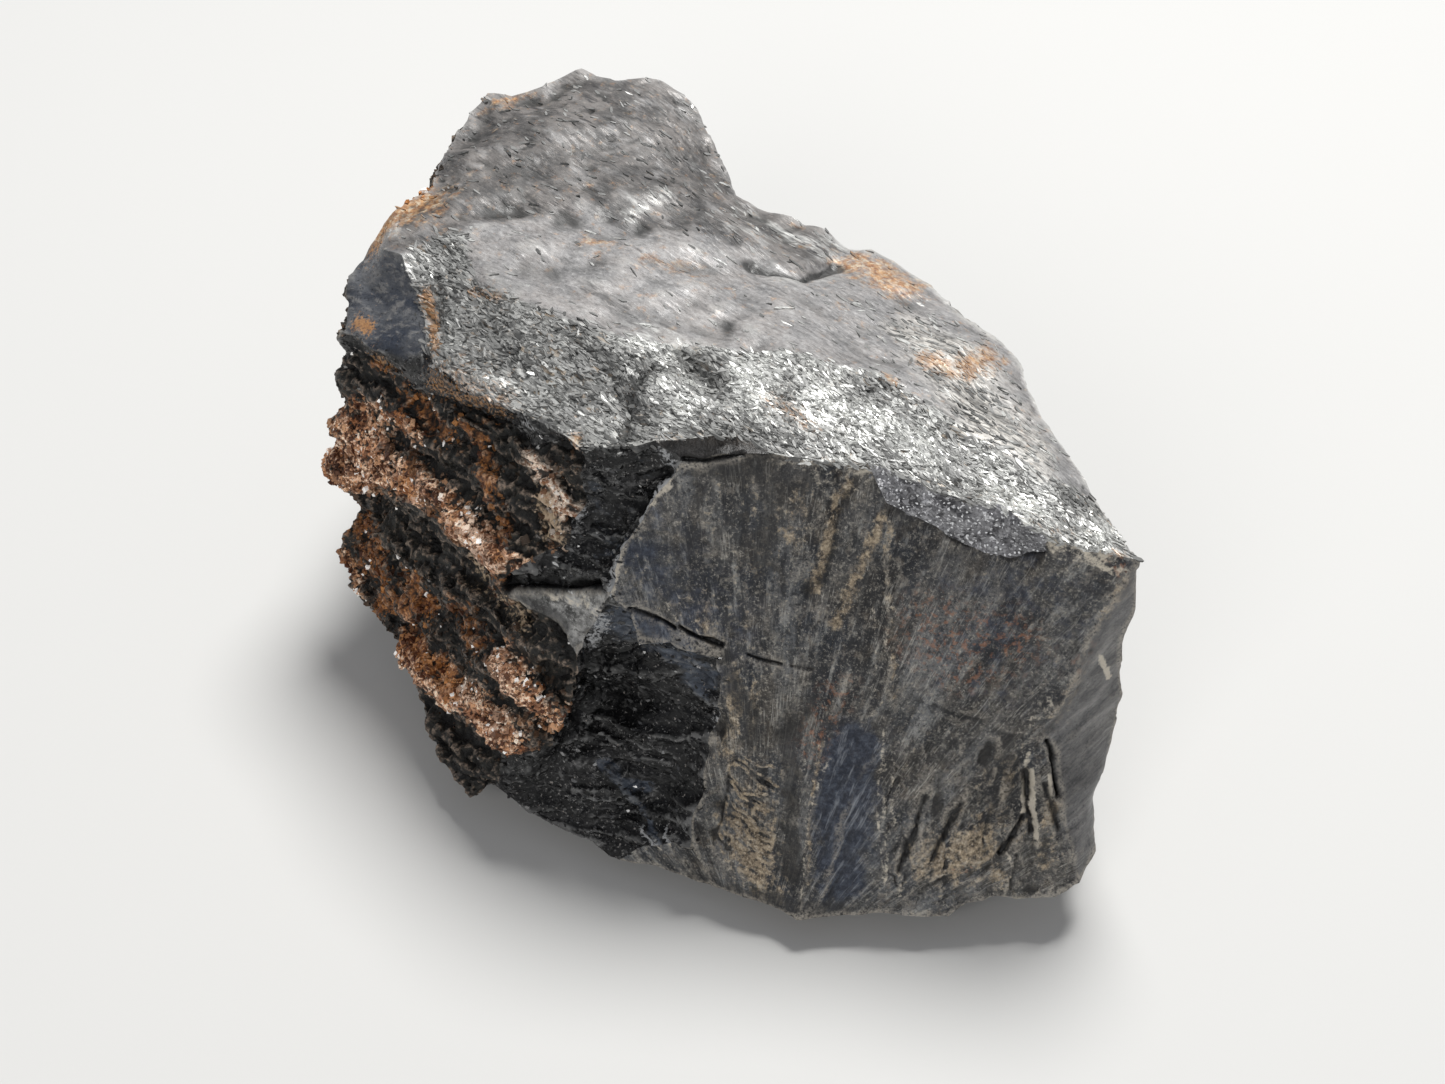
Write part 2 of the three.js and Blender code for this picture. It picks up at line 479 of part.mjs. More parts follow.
// How much of each skin there is at each point: one map of shares per point.
function skinShares({ points, triangles }, neighbours) {
  const names = Object.keys(SKINS);
  let shares = points.map(() => names.map(() => 0));
  triangles.forEach(({ corners, face }) => {
    const skin = names.indexOf(FACES[face][1]);
    corners.forEach((place) => {
      shares[place][skin] += 1;
    });
  });
  for (let pass = 0; pass <= SKIN_BLEND_PASSES; pass += 1) {
    const whole = shares.map((row) => row.reduce((sum, share) => sum + share, 0));
    shares = shares.map((row, place) => row.map((share) => share / whole[place]));
    if (pass === SKIN_BLEND_PASSES) break;
    shares = shares.map((row, place) => row.map((share, skin) => (
      neighbours[place].reduce((sum, other) => sum + shares[other][skin], share)
    )));
  }
  return shares.map((row) => new Map(row.map((share, skin) => [names[skin], share])));
}

function ribHeight(point, [height, pitch, across]) {
  const wobble = 0.35 * noise(point, 7, 3.7);
  const along = point.dot(new THREE.Vector3(...across)) / pitch + wobble;
  return height * Math.cos(2 * Math.PI * along);
}

// Lumps drawn out along one direction.
function streakHeight(point, [height, length, width, along]) {
  const direction = new THREE.Vector3(...along);
  const shrink = width / length - 1;
  const squeezed = point.clone().addScaledVector(direction, point.dot(direction) * shrink);
  return height * noise(squeezed, width, 1.9);
}

function ledgeHeight(point, [height, size, count]) {
  const level = noise(point, size, 9.1) * count;
  const step = Math.floor(level);
  return height * (step + THREE.MathUtils.smoothstep(level - step, 0.55, 1)) / count;
}

function skinHeight(point, shares) {
  let height = 0;
  shares.forEach((share, name) => {
    if (share === 0) return;
    const { lump, ledge, rib, streak } = SKINS[name];
    if (lump) height += share * lump[0] * noise(point, lump[1], 5.3);
    if (ledge) height += share * ledgeHeight(point, ledge);
    if (rib) height += share * ribHeight(point, rib);
    if (streak) height += share * streakHeight(point, streak);
  });
  return height;
}

function strokeHeight(point) {
  let height = 0;
  STROKES.forEach(([rise, halfWidth, line]) => {
    let nearest = Infinity;
    for (let i = 0; i + 1 < line.length; i += 1) {
      const part = new THREE.Line3(new THREE.Vector3(...line[i]), new THREE.Vector3(...line[i + 1]));
      const foot = part.closestPointToPoint(point, true, new THREE.Vector3());
      nearest = Math.min(nearest, foot.distanceTo(point));
    }
    height += rise * Math.exp(-((nearest / halfWidth) ** 2));
  });
  return height;
}

// Broken edges wander off the straight lines of the cage, between its corners.
function wander(point, corners) {
  const offset = new THREE.Vector3();
  WANDER.forEach(([distance, length]) => {
    offset.x += distance * noise(point, length, 11.3);
    offset.y += distance * noise(point, length, 23.9);
    offset.z += distance * noise(point, length, 37.1);
  });
  const near = Math.min(...corners.map((corner) => corner.distanceTo(point)));
  return offset.multiplyScalar(THREE.MathUtils.smoothstep(near, 0, CORNER_HOLD));
}

function roughen(cage) {
  const neighbours = neighbourLists(cage.points.length, cage.triangles);
  easeCreases(cage, neighbours);
  const normals = smoothNormals(cage, neighbours);
  const shares = skinShares(cage, neighbours);
  const corners = Object.values(CORNERS).flat().map((place) => new THREE.Vector3(...place));
  return cage.points.map((point, place) => {
    const fade = THREE.MathUtils.smoothstep(point.z, 0, FOOT_CLEAR_HEIGHT);
    const height = skinHeight(point, shares[place]) + strokeHeight(point);
    return point.clone()
      .addScaledVector(normals[place], height * fade)
      .addScaledVector(wander(point, corners), fade)
      .multiplyScalar(SIZE_FACTOR);
  });
}

// ---- the crystal ------------------------------------------------------------------

function crystalGeometry() {
  const cage = splitLongEdges(buildCage());
  dishFaces(cage);
  const points = roughen(cage);
  const geometry = new THREE.BufferGeometry();
  geometry.setFromPoints(points);
  geometry.setIndex(cage.triangles.flatMap(({ corners }) => corners));
  geometry.computeVertexNormals();
  return geometry;
}

function crystalMaterial() {
  return new THREE.MeshStandardMaterial({
    color: 0x4b4844,
    roughness: 0.55,
    metalness: 0.2,
    flatShading: true,
  });
}

function tantaliteCrystal() {
  const mesh = new THREE.Mesh(crystalGeometry(), crystalMaterial());
  mesh.name = 'tantalite_crystal';
  return mesh;
}

const group = new THREE.Group();
group.name = 'tantalite_crystal_lump';
group.add(tantaliteCrystal());

export default group;
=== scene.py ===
"""Looks of the tantalite crystal: the fine skin of the lump, its minerals, floor, light, camera.

The lump is the same cage of named corners and faces as the solid, in millimetres. It is split
to the solid's own coarseness and shaped, then split finer and given the relief of each mineral.
"""

import math
import re

import bpy
import numpy as np
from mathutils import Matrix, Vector


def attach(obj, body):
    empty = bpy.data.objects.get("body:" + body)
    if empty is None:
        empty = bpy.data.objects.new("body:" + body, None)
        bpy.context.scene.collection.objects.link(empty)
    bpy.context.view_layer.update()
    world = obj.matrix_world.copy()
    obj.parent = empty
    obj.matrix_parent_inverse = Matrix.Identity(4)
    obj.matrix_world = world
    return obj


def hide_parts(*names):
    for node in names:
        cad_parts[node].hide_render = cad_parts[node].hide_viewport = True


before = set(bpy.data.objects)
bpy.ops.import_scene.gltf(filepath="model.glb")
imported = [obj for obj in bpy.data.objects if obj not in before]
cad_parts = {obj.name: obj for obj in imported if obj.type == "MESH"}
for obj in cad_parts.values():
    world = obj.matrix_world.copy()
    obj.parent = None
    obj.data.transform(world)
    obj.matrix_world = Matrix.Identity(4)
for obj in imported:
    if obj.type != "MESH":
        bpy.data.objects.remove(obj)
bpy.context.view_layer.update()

NODE = "tantalite_crystal"
MM = 0.001
RANDOM_SEED = 41

# ---- the cage, as in the solid (millimetres) ------------------------------------------

# Directions along and across the grain of the skins.
CRUST_ACROSS = (0.14, 0.32, 0.94)
CRUST_ALONG = (0.75, -0.65, 0.1)
TOP_ALONG = (0.73, -0.68, -0.08)
FACE_ACROSS = (0.93, 0.36, 0)
RIBBED_ACROSS = (0.5, 0.1, 0.86)
HOLLOW_ALONG = (0.82, -0.54, 0.18)
HOLLOW_DOWN = (0.1, -0.35, -0.93)

# The large dark face: striae spread in a fan from a point low on it.
FAN_POINT = (2.5, -27.5, -5)
FAN_ACROSS = (0.98, -0.17, 0)
FAN_UP = (0.07, 0.41, 0.91)
FAN_RADIUS = 24

# Each skin. edge: the longest edge of the coarse shape, fine: of the finished skin.
# ease: how often creases inside a family of skins are smoothed. lump: height, size.
# ledge: height, size, count. rib: height, pitch, direction across the ribs.
# streak: height, length, width, direction along the streaks. look: the material.
SKINS = {
    "satin": dict(family="top", edge=2.7, fine=0.56, ease=6, look="mica",
                  lump=(0.2, 6), streak=(0.25, 9, 2.6, TOP_ALONG)),
    "scaly": dict(family="top", edge=2.4, fine=0.4, ease=6, look="mica",
                  lump=(0.3, 4.5), streak=(0.5, 9, 2.6, TOP_ALONG)),
    "mottled": dict(family="top", edge=2.7, fine=0.58, ease=6, look="mica",
                    lump=(0.5, 5), streak=(0.2, 9, 3, TOP_ALONG)),
    "blue": dict(family="blue", edge=2.4, fine=0.5, ease=3, look="hollow", lump=(0.4, 4)),
    "black": dict(family="black", edge=2.25, fine=0.38, ease=1, look="hollow",
                  lump=(0.5, 4.5), ledge=(0.5, 7, 3)),
    "brown": dict(family="brown", edge=2.4, fine=0.4, ease=1, look="face", lump=(0.25, 4)),
    "grey": dict(family="grey", edge=2.4, fine=0.42, ease=1, look="face", lump=(0.2, 5)),
    "crust": dict(family="crust", edge=2.05, fine=0.36, ease=4, look="crust",
                  lump=(0.4, 3.6), rib=(0.4, 4, CRUST_ACROSS)),
    "fracture": dict(family="face", edge=3, fine=0.53, ease=9, look="face", lump=(0.3, 8)),
    "striated": dict(family="face", edge=2.5, fine=0.42, ease=6, look="face",
                     lump=(0.25, 5), rib=(0.12, 3.2, FACE_ACROSS)),
    "ribbed": dict(family="ribbed", edge=1.8, fine=0.34, ease=1, look="face",
                   lump=(0.1, 3), rib=(0.18, 2.4, RIBBED_ACROSS)),
    "chip": dict(family="chip", edge=2.2, fine=0.42, ease=1, look="chip", lump=(0.3, 2.6)),
    "side": dict(family="side", edge=2.7, fine=0.5, ease=3, look="face", lump=(0.2, 6)),
    "hidden": dict(family="hidden", edge=3.2, fine=1.1, ease=2, look="back",
                   lump=(0.45, 7), ledge=(0.5, 9, 3)),
    "sole": dict(family="sole", edge=3.6, fine=1.6, ease=2, look="back", lump=(0.3, 6)),
    "rest": dict(family="rest", edge=12, fine=2.5, ease=0, look="back"),
}
SKIN_NAMES = list(SKINS)
LOOKS = ["mica", "crust", "hollow", "face", "chip", "back"]

CORNERS = {
    # the outline of the top, from the left corner round the back to the right-hand tip
    "rim": """-31.5 14 31, -31.5 18.5 33.5, -29.5 21 35.5, -27.5 22.5 37.5, -24.5 25.5 37.5, -24 30.5 38,
        -22.5 34 38.5, -20.5 37.5 39, -16 38.5 39.5, -12.5 40.5 40, -9.5 38.5 40, -7 39.5 40,
        -3.5 37.5 39, -1 33 38, 0 30 37, 1 26.5 36, 5.5 24 36, 8.5 22.5 35.5, 10.5 20.5 34.5,
        14.5 19.5 34.5, 17.5 16 34.5, 20 11.5 34.5, 23 9 34, 24.5 3 34, 25.5 0 34, 27.5 -6.5 34,
        29 -11 33.5, 31.5 -16.5 33""",
    # the front edge of the top, from the left corner to the right-hand tip
    "ridge": """-28 10 32, -24 7.5 34, -21.5 3 35, -18.5 0 35.5, -14 -4.5 36.5, -11 -8 37, -8 -8.5 37.5,
        -5 -8.5 38, -0.5 -8.5 38.5, 1.5 -8.5 38.5, 4 -10 38, 9.5 -10.5 37.5, 11 -10.5 37.5,
        14 -11.5 37, 17 -13 36.5, 21 -13.5 36, 24.5 -16 35, 28.5 -16.5 34""",
    # the inner corners of the small block on the left
    "nook": "-26.5 16 37.5, -25 12 36, -22.5 19 38.5",
    # the line where the flat top starts to roll down to its front edge
    "fold": "-22 13 38.5, -14 7 39.5, -6.5 1.5 39.5, 3 2 39, 12.5 0 38, 18.5 -5.5 37, 24.5 -11.5 35.5",
    # the foot of the low step behind the flat top
    "bench": "-11.5 21.5 39.5, -8.5 19 39, 0 17 38, 6.5 15.5 36.5",
    # the bottom of the dark band under the left front edge
    "under": "-32 14.5 29, -26.5 9.5 30.5, -22 4 32, -18 1 32.5, -14 -4 33.5",
    # the left outline of the crusted face, downwards
    "flank": """-33.5 14.5 27, -33.5 14.5 24, -33 13.5 19.5, -34 13 15.5, -33 12 13, -34 10 9, -32.5 8.5 7,
        -30 7.5 5.5, -28.5 4.5 5, -27.5 1 5, -26 -3.5 5, -24.5 -7.5 4.5, -22.5 -11.5 4,
        -21 -13.5 3.5""",
    # high and low points inside the crusted face
    "crest": "-20.5 -1 28.5, -24.5 3 22, -16 -8 24.5, -22.5 -3 16.5, -24.5 -3 9, -18 -12.5 15",
    # the right-hand boundary of the crusted face, downwards
    "seam": """-10.5 -7.5 31, -12 -8.5 27.5, -18 -7.5 22, -14 -10.5 21.5, -11.5 -13 19.5, -11.5 -14 16.5,
        -13 -14.5 14, -14 -14 10.5, -18 -13.5 9, -19 -13 4""",
    # the right-hand corner of the small pale wedge
    "wedge": "-11 -12 20.5",
    # the upper edge of the large dark face, below the chipped strip
    "brow": "-3 -9.5 37, 12.5 -11.5 34.5, 16 -12.5 33, 18.5 -13 31.5, 22 -14 31, 24.5 -15 32.5",
    # the lower corner of the brown band
    "band": "0 -10 38",
    # the left edge of the large dark face, downwards
    "lip": """-5.5 -11 34, -7.5 -12.5 31, -8.5 -13.5 27, -6.5 -15 23, -2.5 -16 23, -0.5 -16 22.5,
        0 -16.5 19, -1 -17.5 15, -1.5 -19.5 11, -2.5 -21.5 6.5""",
    # the shallow groove down the large dark face
    "groove": "9 -11.5 34.5, 7 -14.5 28, 6 -17.5 20.5",
    # the faint upright ridge on the large dark face
    "spine": "12.5 -17 25, 13 -20.5 16",
    # the deep side of the crack beside the crusted face
    "gap": "-11 -10 16.5, -10.5 -10.5 13, -12.5 -12 11, -13.5 -13 8",
    # the floor of the lower hollow
    "bed": "-6 -14 15, -9.5 -15.5 9, -5 -20 5",
    # the lower outline under the hollow
    "toe": "-1 -22 2.5, -8.5 -19 2, -13.5 -16 3, -17.5 -13.5 3.5",
    # the lower front outline, left to right
    "front": "6 -26 3, 12.5 -25.5 3, 18 -26 3, 19.5 -25.5 4, 22 -25 4.5, 26.5 -25 4.5, 28.5 -24 5",
    # the right-hand outline, downwards
    "side": "31.5 -16.5 28, 31 -16 21, 31 -16.5 17, 31 -17 13, 30 -18.5 9, 30 -21.5 6",
    # the edge between the large dark face and the narrow right-hand face
    "keel": "30.5 -17 32, 29 -17 28, 27.5 -17.5 25, 26.5 -18 21, 25 -19 17.5, 26.5 -21 12.5, 28 -23 7.5",
    # the outline of the small ribbed face, clockwise from its upper left corner
    "rib": """1 -18.5 14.5, 5 -20 14.5, 4.5 -21 11.5, 4 -22.5 8, 3 -24 4.5, -1 -21.5 6, 0 -20 8,
        0.5 -19 10.5""",
    # the widest line of the hidden side, from the left round to the right
    "back": """-32 19 20, -29.5 27.5 19, -24 37 21, -13 42 22, -3 40 20, 5 32 17, 14 26 19, 24 15 18,
        28.5 4 16, 30.5 -8 18""",
    # the lower edge of the hidden side
    "heel": "-29 14 4.5, -25 27 5, -14 35 7, -1 31 4, 10 24 5.5, 21 11 4, 28 -3 5, 29.5 -13 6.5",
    # the flat facet it rests on
    "foot": """-22 9 0, -20 -4 0, -12 -10 0, 0 -17 0, 11 -20 0, 22 -18 0, 25 -8 0, 18 6 0, 6 18 0, -8 25 0,
        -19 19 0""",
}

# Skin, depth of the dish (below zero it bulges): corners in order round the face.
FACES = """
# the top
blue 0: ridge0-1 nook1-0 rim2-0
mottled -0.5: rim2 nook0 nook2 rim4-3
mottled -1: rim4 nook2 bench0-2 rim15-5
mottled 0: bench2-3 rim18-15
satin 0: nook2 fold0-2 bench1-0
satin 0: bench1 fold2-4 bench3-2
satin 0: bench3 fold4-5 rim21-18
satin 0: fold5-6 rim26-21
scaly 0: nook0-1 ridge1-2 fold0 nook2
scaly 0: fold0 ridge2-4 fold1
scaly 0: fold1 ridge4-7 fold2
scaly 0: fold2 ridge7-10 fold3
scaly 0: fold3 ridge10-12 fold4
scaly 0: fold4 ridge12-14 fold5
scaly 0: fold5 ridge14-16 fold6
scaly 0: fold6 ridge16-17 rim27-26
# the crusted left side
black 0: under0-2 ridge2-0 rim0
black 0: under2-4 ridge5-2
crust -0.6: flank0-3 crest1-0 under2-0
crust -0.5: under2 crest0 crest2 seam1-0 ridge5 under4-3
crust -0.7: crest1 seam2 crest2 crest0
crust 1: flank3-8 crest3 crest1
crust 0.6: crest1 crest3 crest5 seam3-2
crust 0: crest3 flank8-9 crest4-5
crust 0.5: crest4 flank10-12 seam8 crest5
crust -0.7: crest5 seam8-3
crust 0: flank12-13 seam9-8
# the hollows, the brown band and the pale wedge
black 2.2: ridge5 seam0-1 lip2-0 brow0 ridge7-6
black 0.8: seam1 crest2 seam2 lip2
brown 0: ridge7 brow0 band0 ridge10-8
grey 0.2: seam2-4 wedge0 lip2
black 0: seam4 gap0 wedge0
black 0: seam4-5 gap1-0
black 0: seam5-6 gap2-1
black 0: seam6-7 gap3-2
black 1.2: wedge0 gap0-1 bed0 lip7-2
black 0.8: gap1-3 bed1-0
black 0.6: bed0-2 lip9-7
black 0.8: gap3 toe3-1 bed2-1
black 0: seam7-9 toe3 gap3
# the large dark face
fracture 0.5: brow0 lip0-5 groove2-0 ridge11-10 band0
fracture 0: ridge11 groove0-2 spine1-0 brow1 ridge12
fracture 0: brow1 spine0-1 keel4-0 ridge17-16 brow5-2
fracture 0: ridge17 keel0 rim27
chip 0.3: ridge12 brow1-5 ridge16-13
fracture 0: lip5-7 rib0-1 groove2
fracture 0: groove2 rib1-4 front0-1 spine1
striated 0: spine1 front1-6 keel6-4
ribbed 0: rib0 rib7-1
fracture 0: lip7-9 rib5-7 rib0
fracture 0: lip9 bed2 toe1-0 front0 rib4-5
# the narrow right-hand face
side 0.2: rim27 keel0-3 side1-0
side 0: side1 keel3-5 side3-2
side 0: side3 keel5-6 front6 side5-4
# the hidden side
hidden 0.8: rim27 side0-1 back9-8 rim24-26
hidden 0.8: side1-5 heel7 back9
hidden -0.6: back9 heel7-6 back8
hidden 1.2: rim24 back8-7 rim21-23
hidden -0.8: back8 heel6-5 back7
hidden 0.8: rim21 back7-6 rim18-20
hidden 1: back7 heel5-4 back6
hidden 1.2: rim18 back6-5 rim15-17
hidden -0.8: back6 heel4-3 back5
hidden 1.4: rim15 back5-4 rim12-14
hidden 0.8: back5 heel3 back4
hidden -0.8: rim12 back4-3 rim9-11
hidden 1.2: back4 heel3-2 back3
hidden 0.6: rim9 back3-2 rim6-8
hidden -0.6: back3 heel2 back2
crust 0.8: rim6 back2-1 rim3-5
hidden -0.6: back2 heel2-1 back1
hidden 0.5: rim3 back1-0 rim1-2
hidden 0.8: back1 heel1-0 back0
crust 0.4: rim1 back0 flank3-0 under0 rim0
hidden 0.6: back0 heel0 flank6-3
# the underside
sole 0: flank6 heel0 foot0 flank8-7
sole 0: flank8 foot0-1 flank11-10 crest4 flank9
sole 0: flank11 foot1-2 toe3 seam9 flank13-12
sole 0: toe3 foot2-3 toe1-2
sole 0: toe1 foot3-4 front0 toe0
sole 0: front0 foot4-5 front2-1
sole 0: front2 foot5 front5-3
sole 0: front5 foot5-6 heel7 side5 front6
sole 0: heel7 foot6-7 heel5-6
sole 0: heel5 foot7-8 heel4
sole 0: heel4 foot8-9 heel2-3
sole 0: heel2 foot9-10 heel1
sole 0: heel1 foot10 foot0 heel0
rest 0: foot0 foot10-1
"""

# Single ridges, troughs and steps of the solid. Height, half width: places along the line.
STROKES = """
1.1 2: -33.5 12.5 17, -28 7.5 22.5, -24 3 23.5, -20 -3.5 23.5, -15.5 -8 24.5
-0.9 1.4: -26.5 6.5 24.5, -24 3 26, -21.5 0.5 27, -18 -5 26.5
-1.2 1.9: -33 12 13.5, -27.5 5.5 18, -23.5 0 19.5, -20 -4.5 21
0.7 1.5: -15 -4 32, -12.5 -6.5 32.5, -12.5 -8 29
0.8 2: -29.5 6.5 7, -26 0.5 12.5
1 2: -27 -0.5 7, -23.5 -5 9, -20 -11 11, -17 -13.5 10.5
0.8 1.3: -18 -10.5 17, -15.5 -12.5 15.5, -13 -14.5 13.5
-0.6 1: -17 -11.5 17, -15 -13 15, -14 -13.5 13.5
-0.9 1.3: -3 1 39.5, -2 -0.5 39, -0.5 -2 39
-0.5 1.2: -5.5 -0.5 39, -7.5 -3.5 38.5, -8 -8 37.5
-0.5 1.5: -21 21 38.5, -17 21 39, -10 19.5 39
-0.5 1.2: 2.5 15 37.5, 6.5 14 37, 9.5 17 35.5
-0.4 1.4: 9.5 -11 36.5, 9 -12 33, 7 -14.5 28
0.3 1.2: 12.5 -11.5 34.5, 12.5 -15.5 28, 12.5 -19 20.5
0.5 1.8: 9.5 -18 21, 8 -19 17.5, 7 -22 10.5, 6.5 -25.5 4.5
-0.5 1.8: 6.5 -18 19.5, 5 -20 14, 5 -24 5.5
0.35 1.3: 2 -16.5 22, 1.5 -17.5 18.5, 1 -18.5 15
-0.3 1.3: 12 -12 33.5, 10.5 -14 29.5, 8.5 -16 25
0.5 1.8: 29.5 -17 29.5, 27.5 -17.5 24.5, 25.5 -18 20.5, 22 -19.5 17
0.5 1.3: -9 -11.5 16, -5 -14.5 18.5, -1 -16.5 18
-0.7 1.2: -9.5 -11.5 14, -6 -14 15.5, -2.5 -16.5 16.5, -0.5 -17.5 16
-0.5 1.2: -10 -15 9.5, -6.5 -16.5 10.5, -2.5 -19 10.5
-0.4 1.8: -13.5 19 39.5, -10 17.5 39, -7 18 39
0.4 2: -21.5 29 38, -17.5 31.5 38.5, -13 30 38.5
"""

# Fine cracks, slits and lips that only the skin has, written as the strokes are.
FINE_STROKES = """
# hairline crack across the large dark face, and the slit it starts from
-0.4 0.16: -9 -13 25.5, -7 -13.8 25, -5 -14.5 24.5, -3.6 -14.9 24.3
-0.5 0.2: -3.2 -15 24.6, -1.5 -15.5 24, 0 -15.8 23.4
-0.3 0.13: 2 -16.2 23, 3.5 -16.5 22.5, 4.6 -16.7 22.3
-0.15 0.12: 5.4 -16.8 22.2, 7 -17 22
-1.2 0.5: -17.5 -8 22.5, -13 -10.5 25, -9.5 -12.5 26.5
# crack below the brown band
-0.4 0.2: -3 -9.5 37, -0.5 -10 37.5, 1.5 -10 38
# steps and the notch at the front of the top
-0.35 0.4: -5.5 -0.5 39, -7.5 -3.5 38.5, -8 -8 37.5
-0.3 0.5: 1 1 39, 2 -1 39, 3.5 -3.5 38.5
-0.5 0.6: -3 1 39.5, -2 -0.5 39, -0.5 -2 39
-0.4 0.5: 2.5 15 37.5, 6.5 14 37, 9.5 17 35.5
# grooves down the large dark face
-0.1 0.3: 13 -12.5 33.5, 11.5 -13.5 30.5, 10 -15.5 26
0.18 0.4: 12.5 -11.5 34.5, 12.5 -15.5 28, 12.5 -19 20.5
0.2 0.5: 8 -25.5 4, 9.5 -22.5 9.5, 12.5 -20.5 16
# slits at its lower right
-0.6 0.22: 25.5 -19.5 16.5, 26.2 -20.3 14.3, 26.5 -21 12
-0.4 0.22: 22 -23.5 8, 24 -22 10.5
-0.35 0.25: 24 -20.5 14, 24.6 -22.5 9.5
-0.3 0.25: 16.5 -23.5 7.5, 18.5 -21.5 12
-0.3 0.25: 14 -24 6.5, 16 -22 12.5
-0.14 0.25: 16.5 -18.8 19.8, 18.5 -19 19, 20 -19.1 18.6
-0.12 0.25: 21.2 -19.3 17.9, 23.6 -19.5 17.2
# hackle lines and pale ridges down the large dark face
0.14 0.3: 6.2 -25.5 4, 6.7 -23 8, 7.7 -21.5 12, 8.7 -20 15
0.12 0.3: 1.7 -16 22.5, 2.2 -17.5 19, 2.1 -18.5 15
0.1 0.25: -5 -13.5 27.5, -4 -14.5 25.5, -2.5 -15 24.5
0.1 0.25: -4 -13.5 27.5, -2.5 -14.5 26, -1.5 -15.5 24
-0.16 0.3: 10 -11 36.2, 8.6 -12.2 32.6, 7.4 -14.3 28.4
0.3 0.5: 28 -17.5 26, 27.5 -17.5 23.5, 26.5 -18 21, 25.5 -18.5 19
-0.3 0.25: 25.5 -21 13, 26.3 -22 11, 26.8 -22.5 9.5
0.3 0.25: 24.4 -21.5 11.5, 25 -22.5 10, 25.2 -23 8.5
0.25 0.35: 16.5 -24 6, 19 -23.5 7, 21 -23.5 7.5
0.25 0.3: 17.5 -24.5 5, 19.5 -24.5 6, 22 -24 6.5
# lips of the lower hollow
0.5 0.5: -9.5 -15.5 9, -7.5 -17.5 7.5, -5 -20 5
0.5 0.6: -10.5 -10.5 16, -6.5 -13.5 18, -2 -15.5 21
0.4 0.5: -10 -12.5 12, -6 -15.5 12.5, -1 -17.5 15
# narrow grooves low on the crusted face
-0.5 0.45: -25.5 -4.5 6, -21.5 -10 7.5, -18 -13.5 8
-0.5 0.4: -24 -8 5, -21 -12 6, -19.5 -13 4.5
0.5 0.7: -21 2 31, -20 0 30, -18.5 -2 29.5, -17 -4.5 28, -16.5 -6.5 26.5
"""

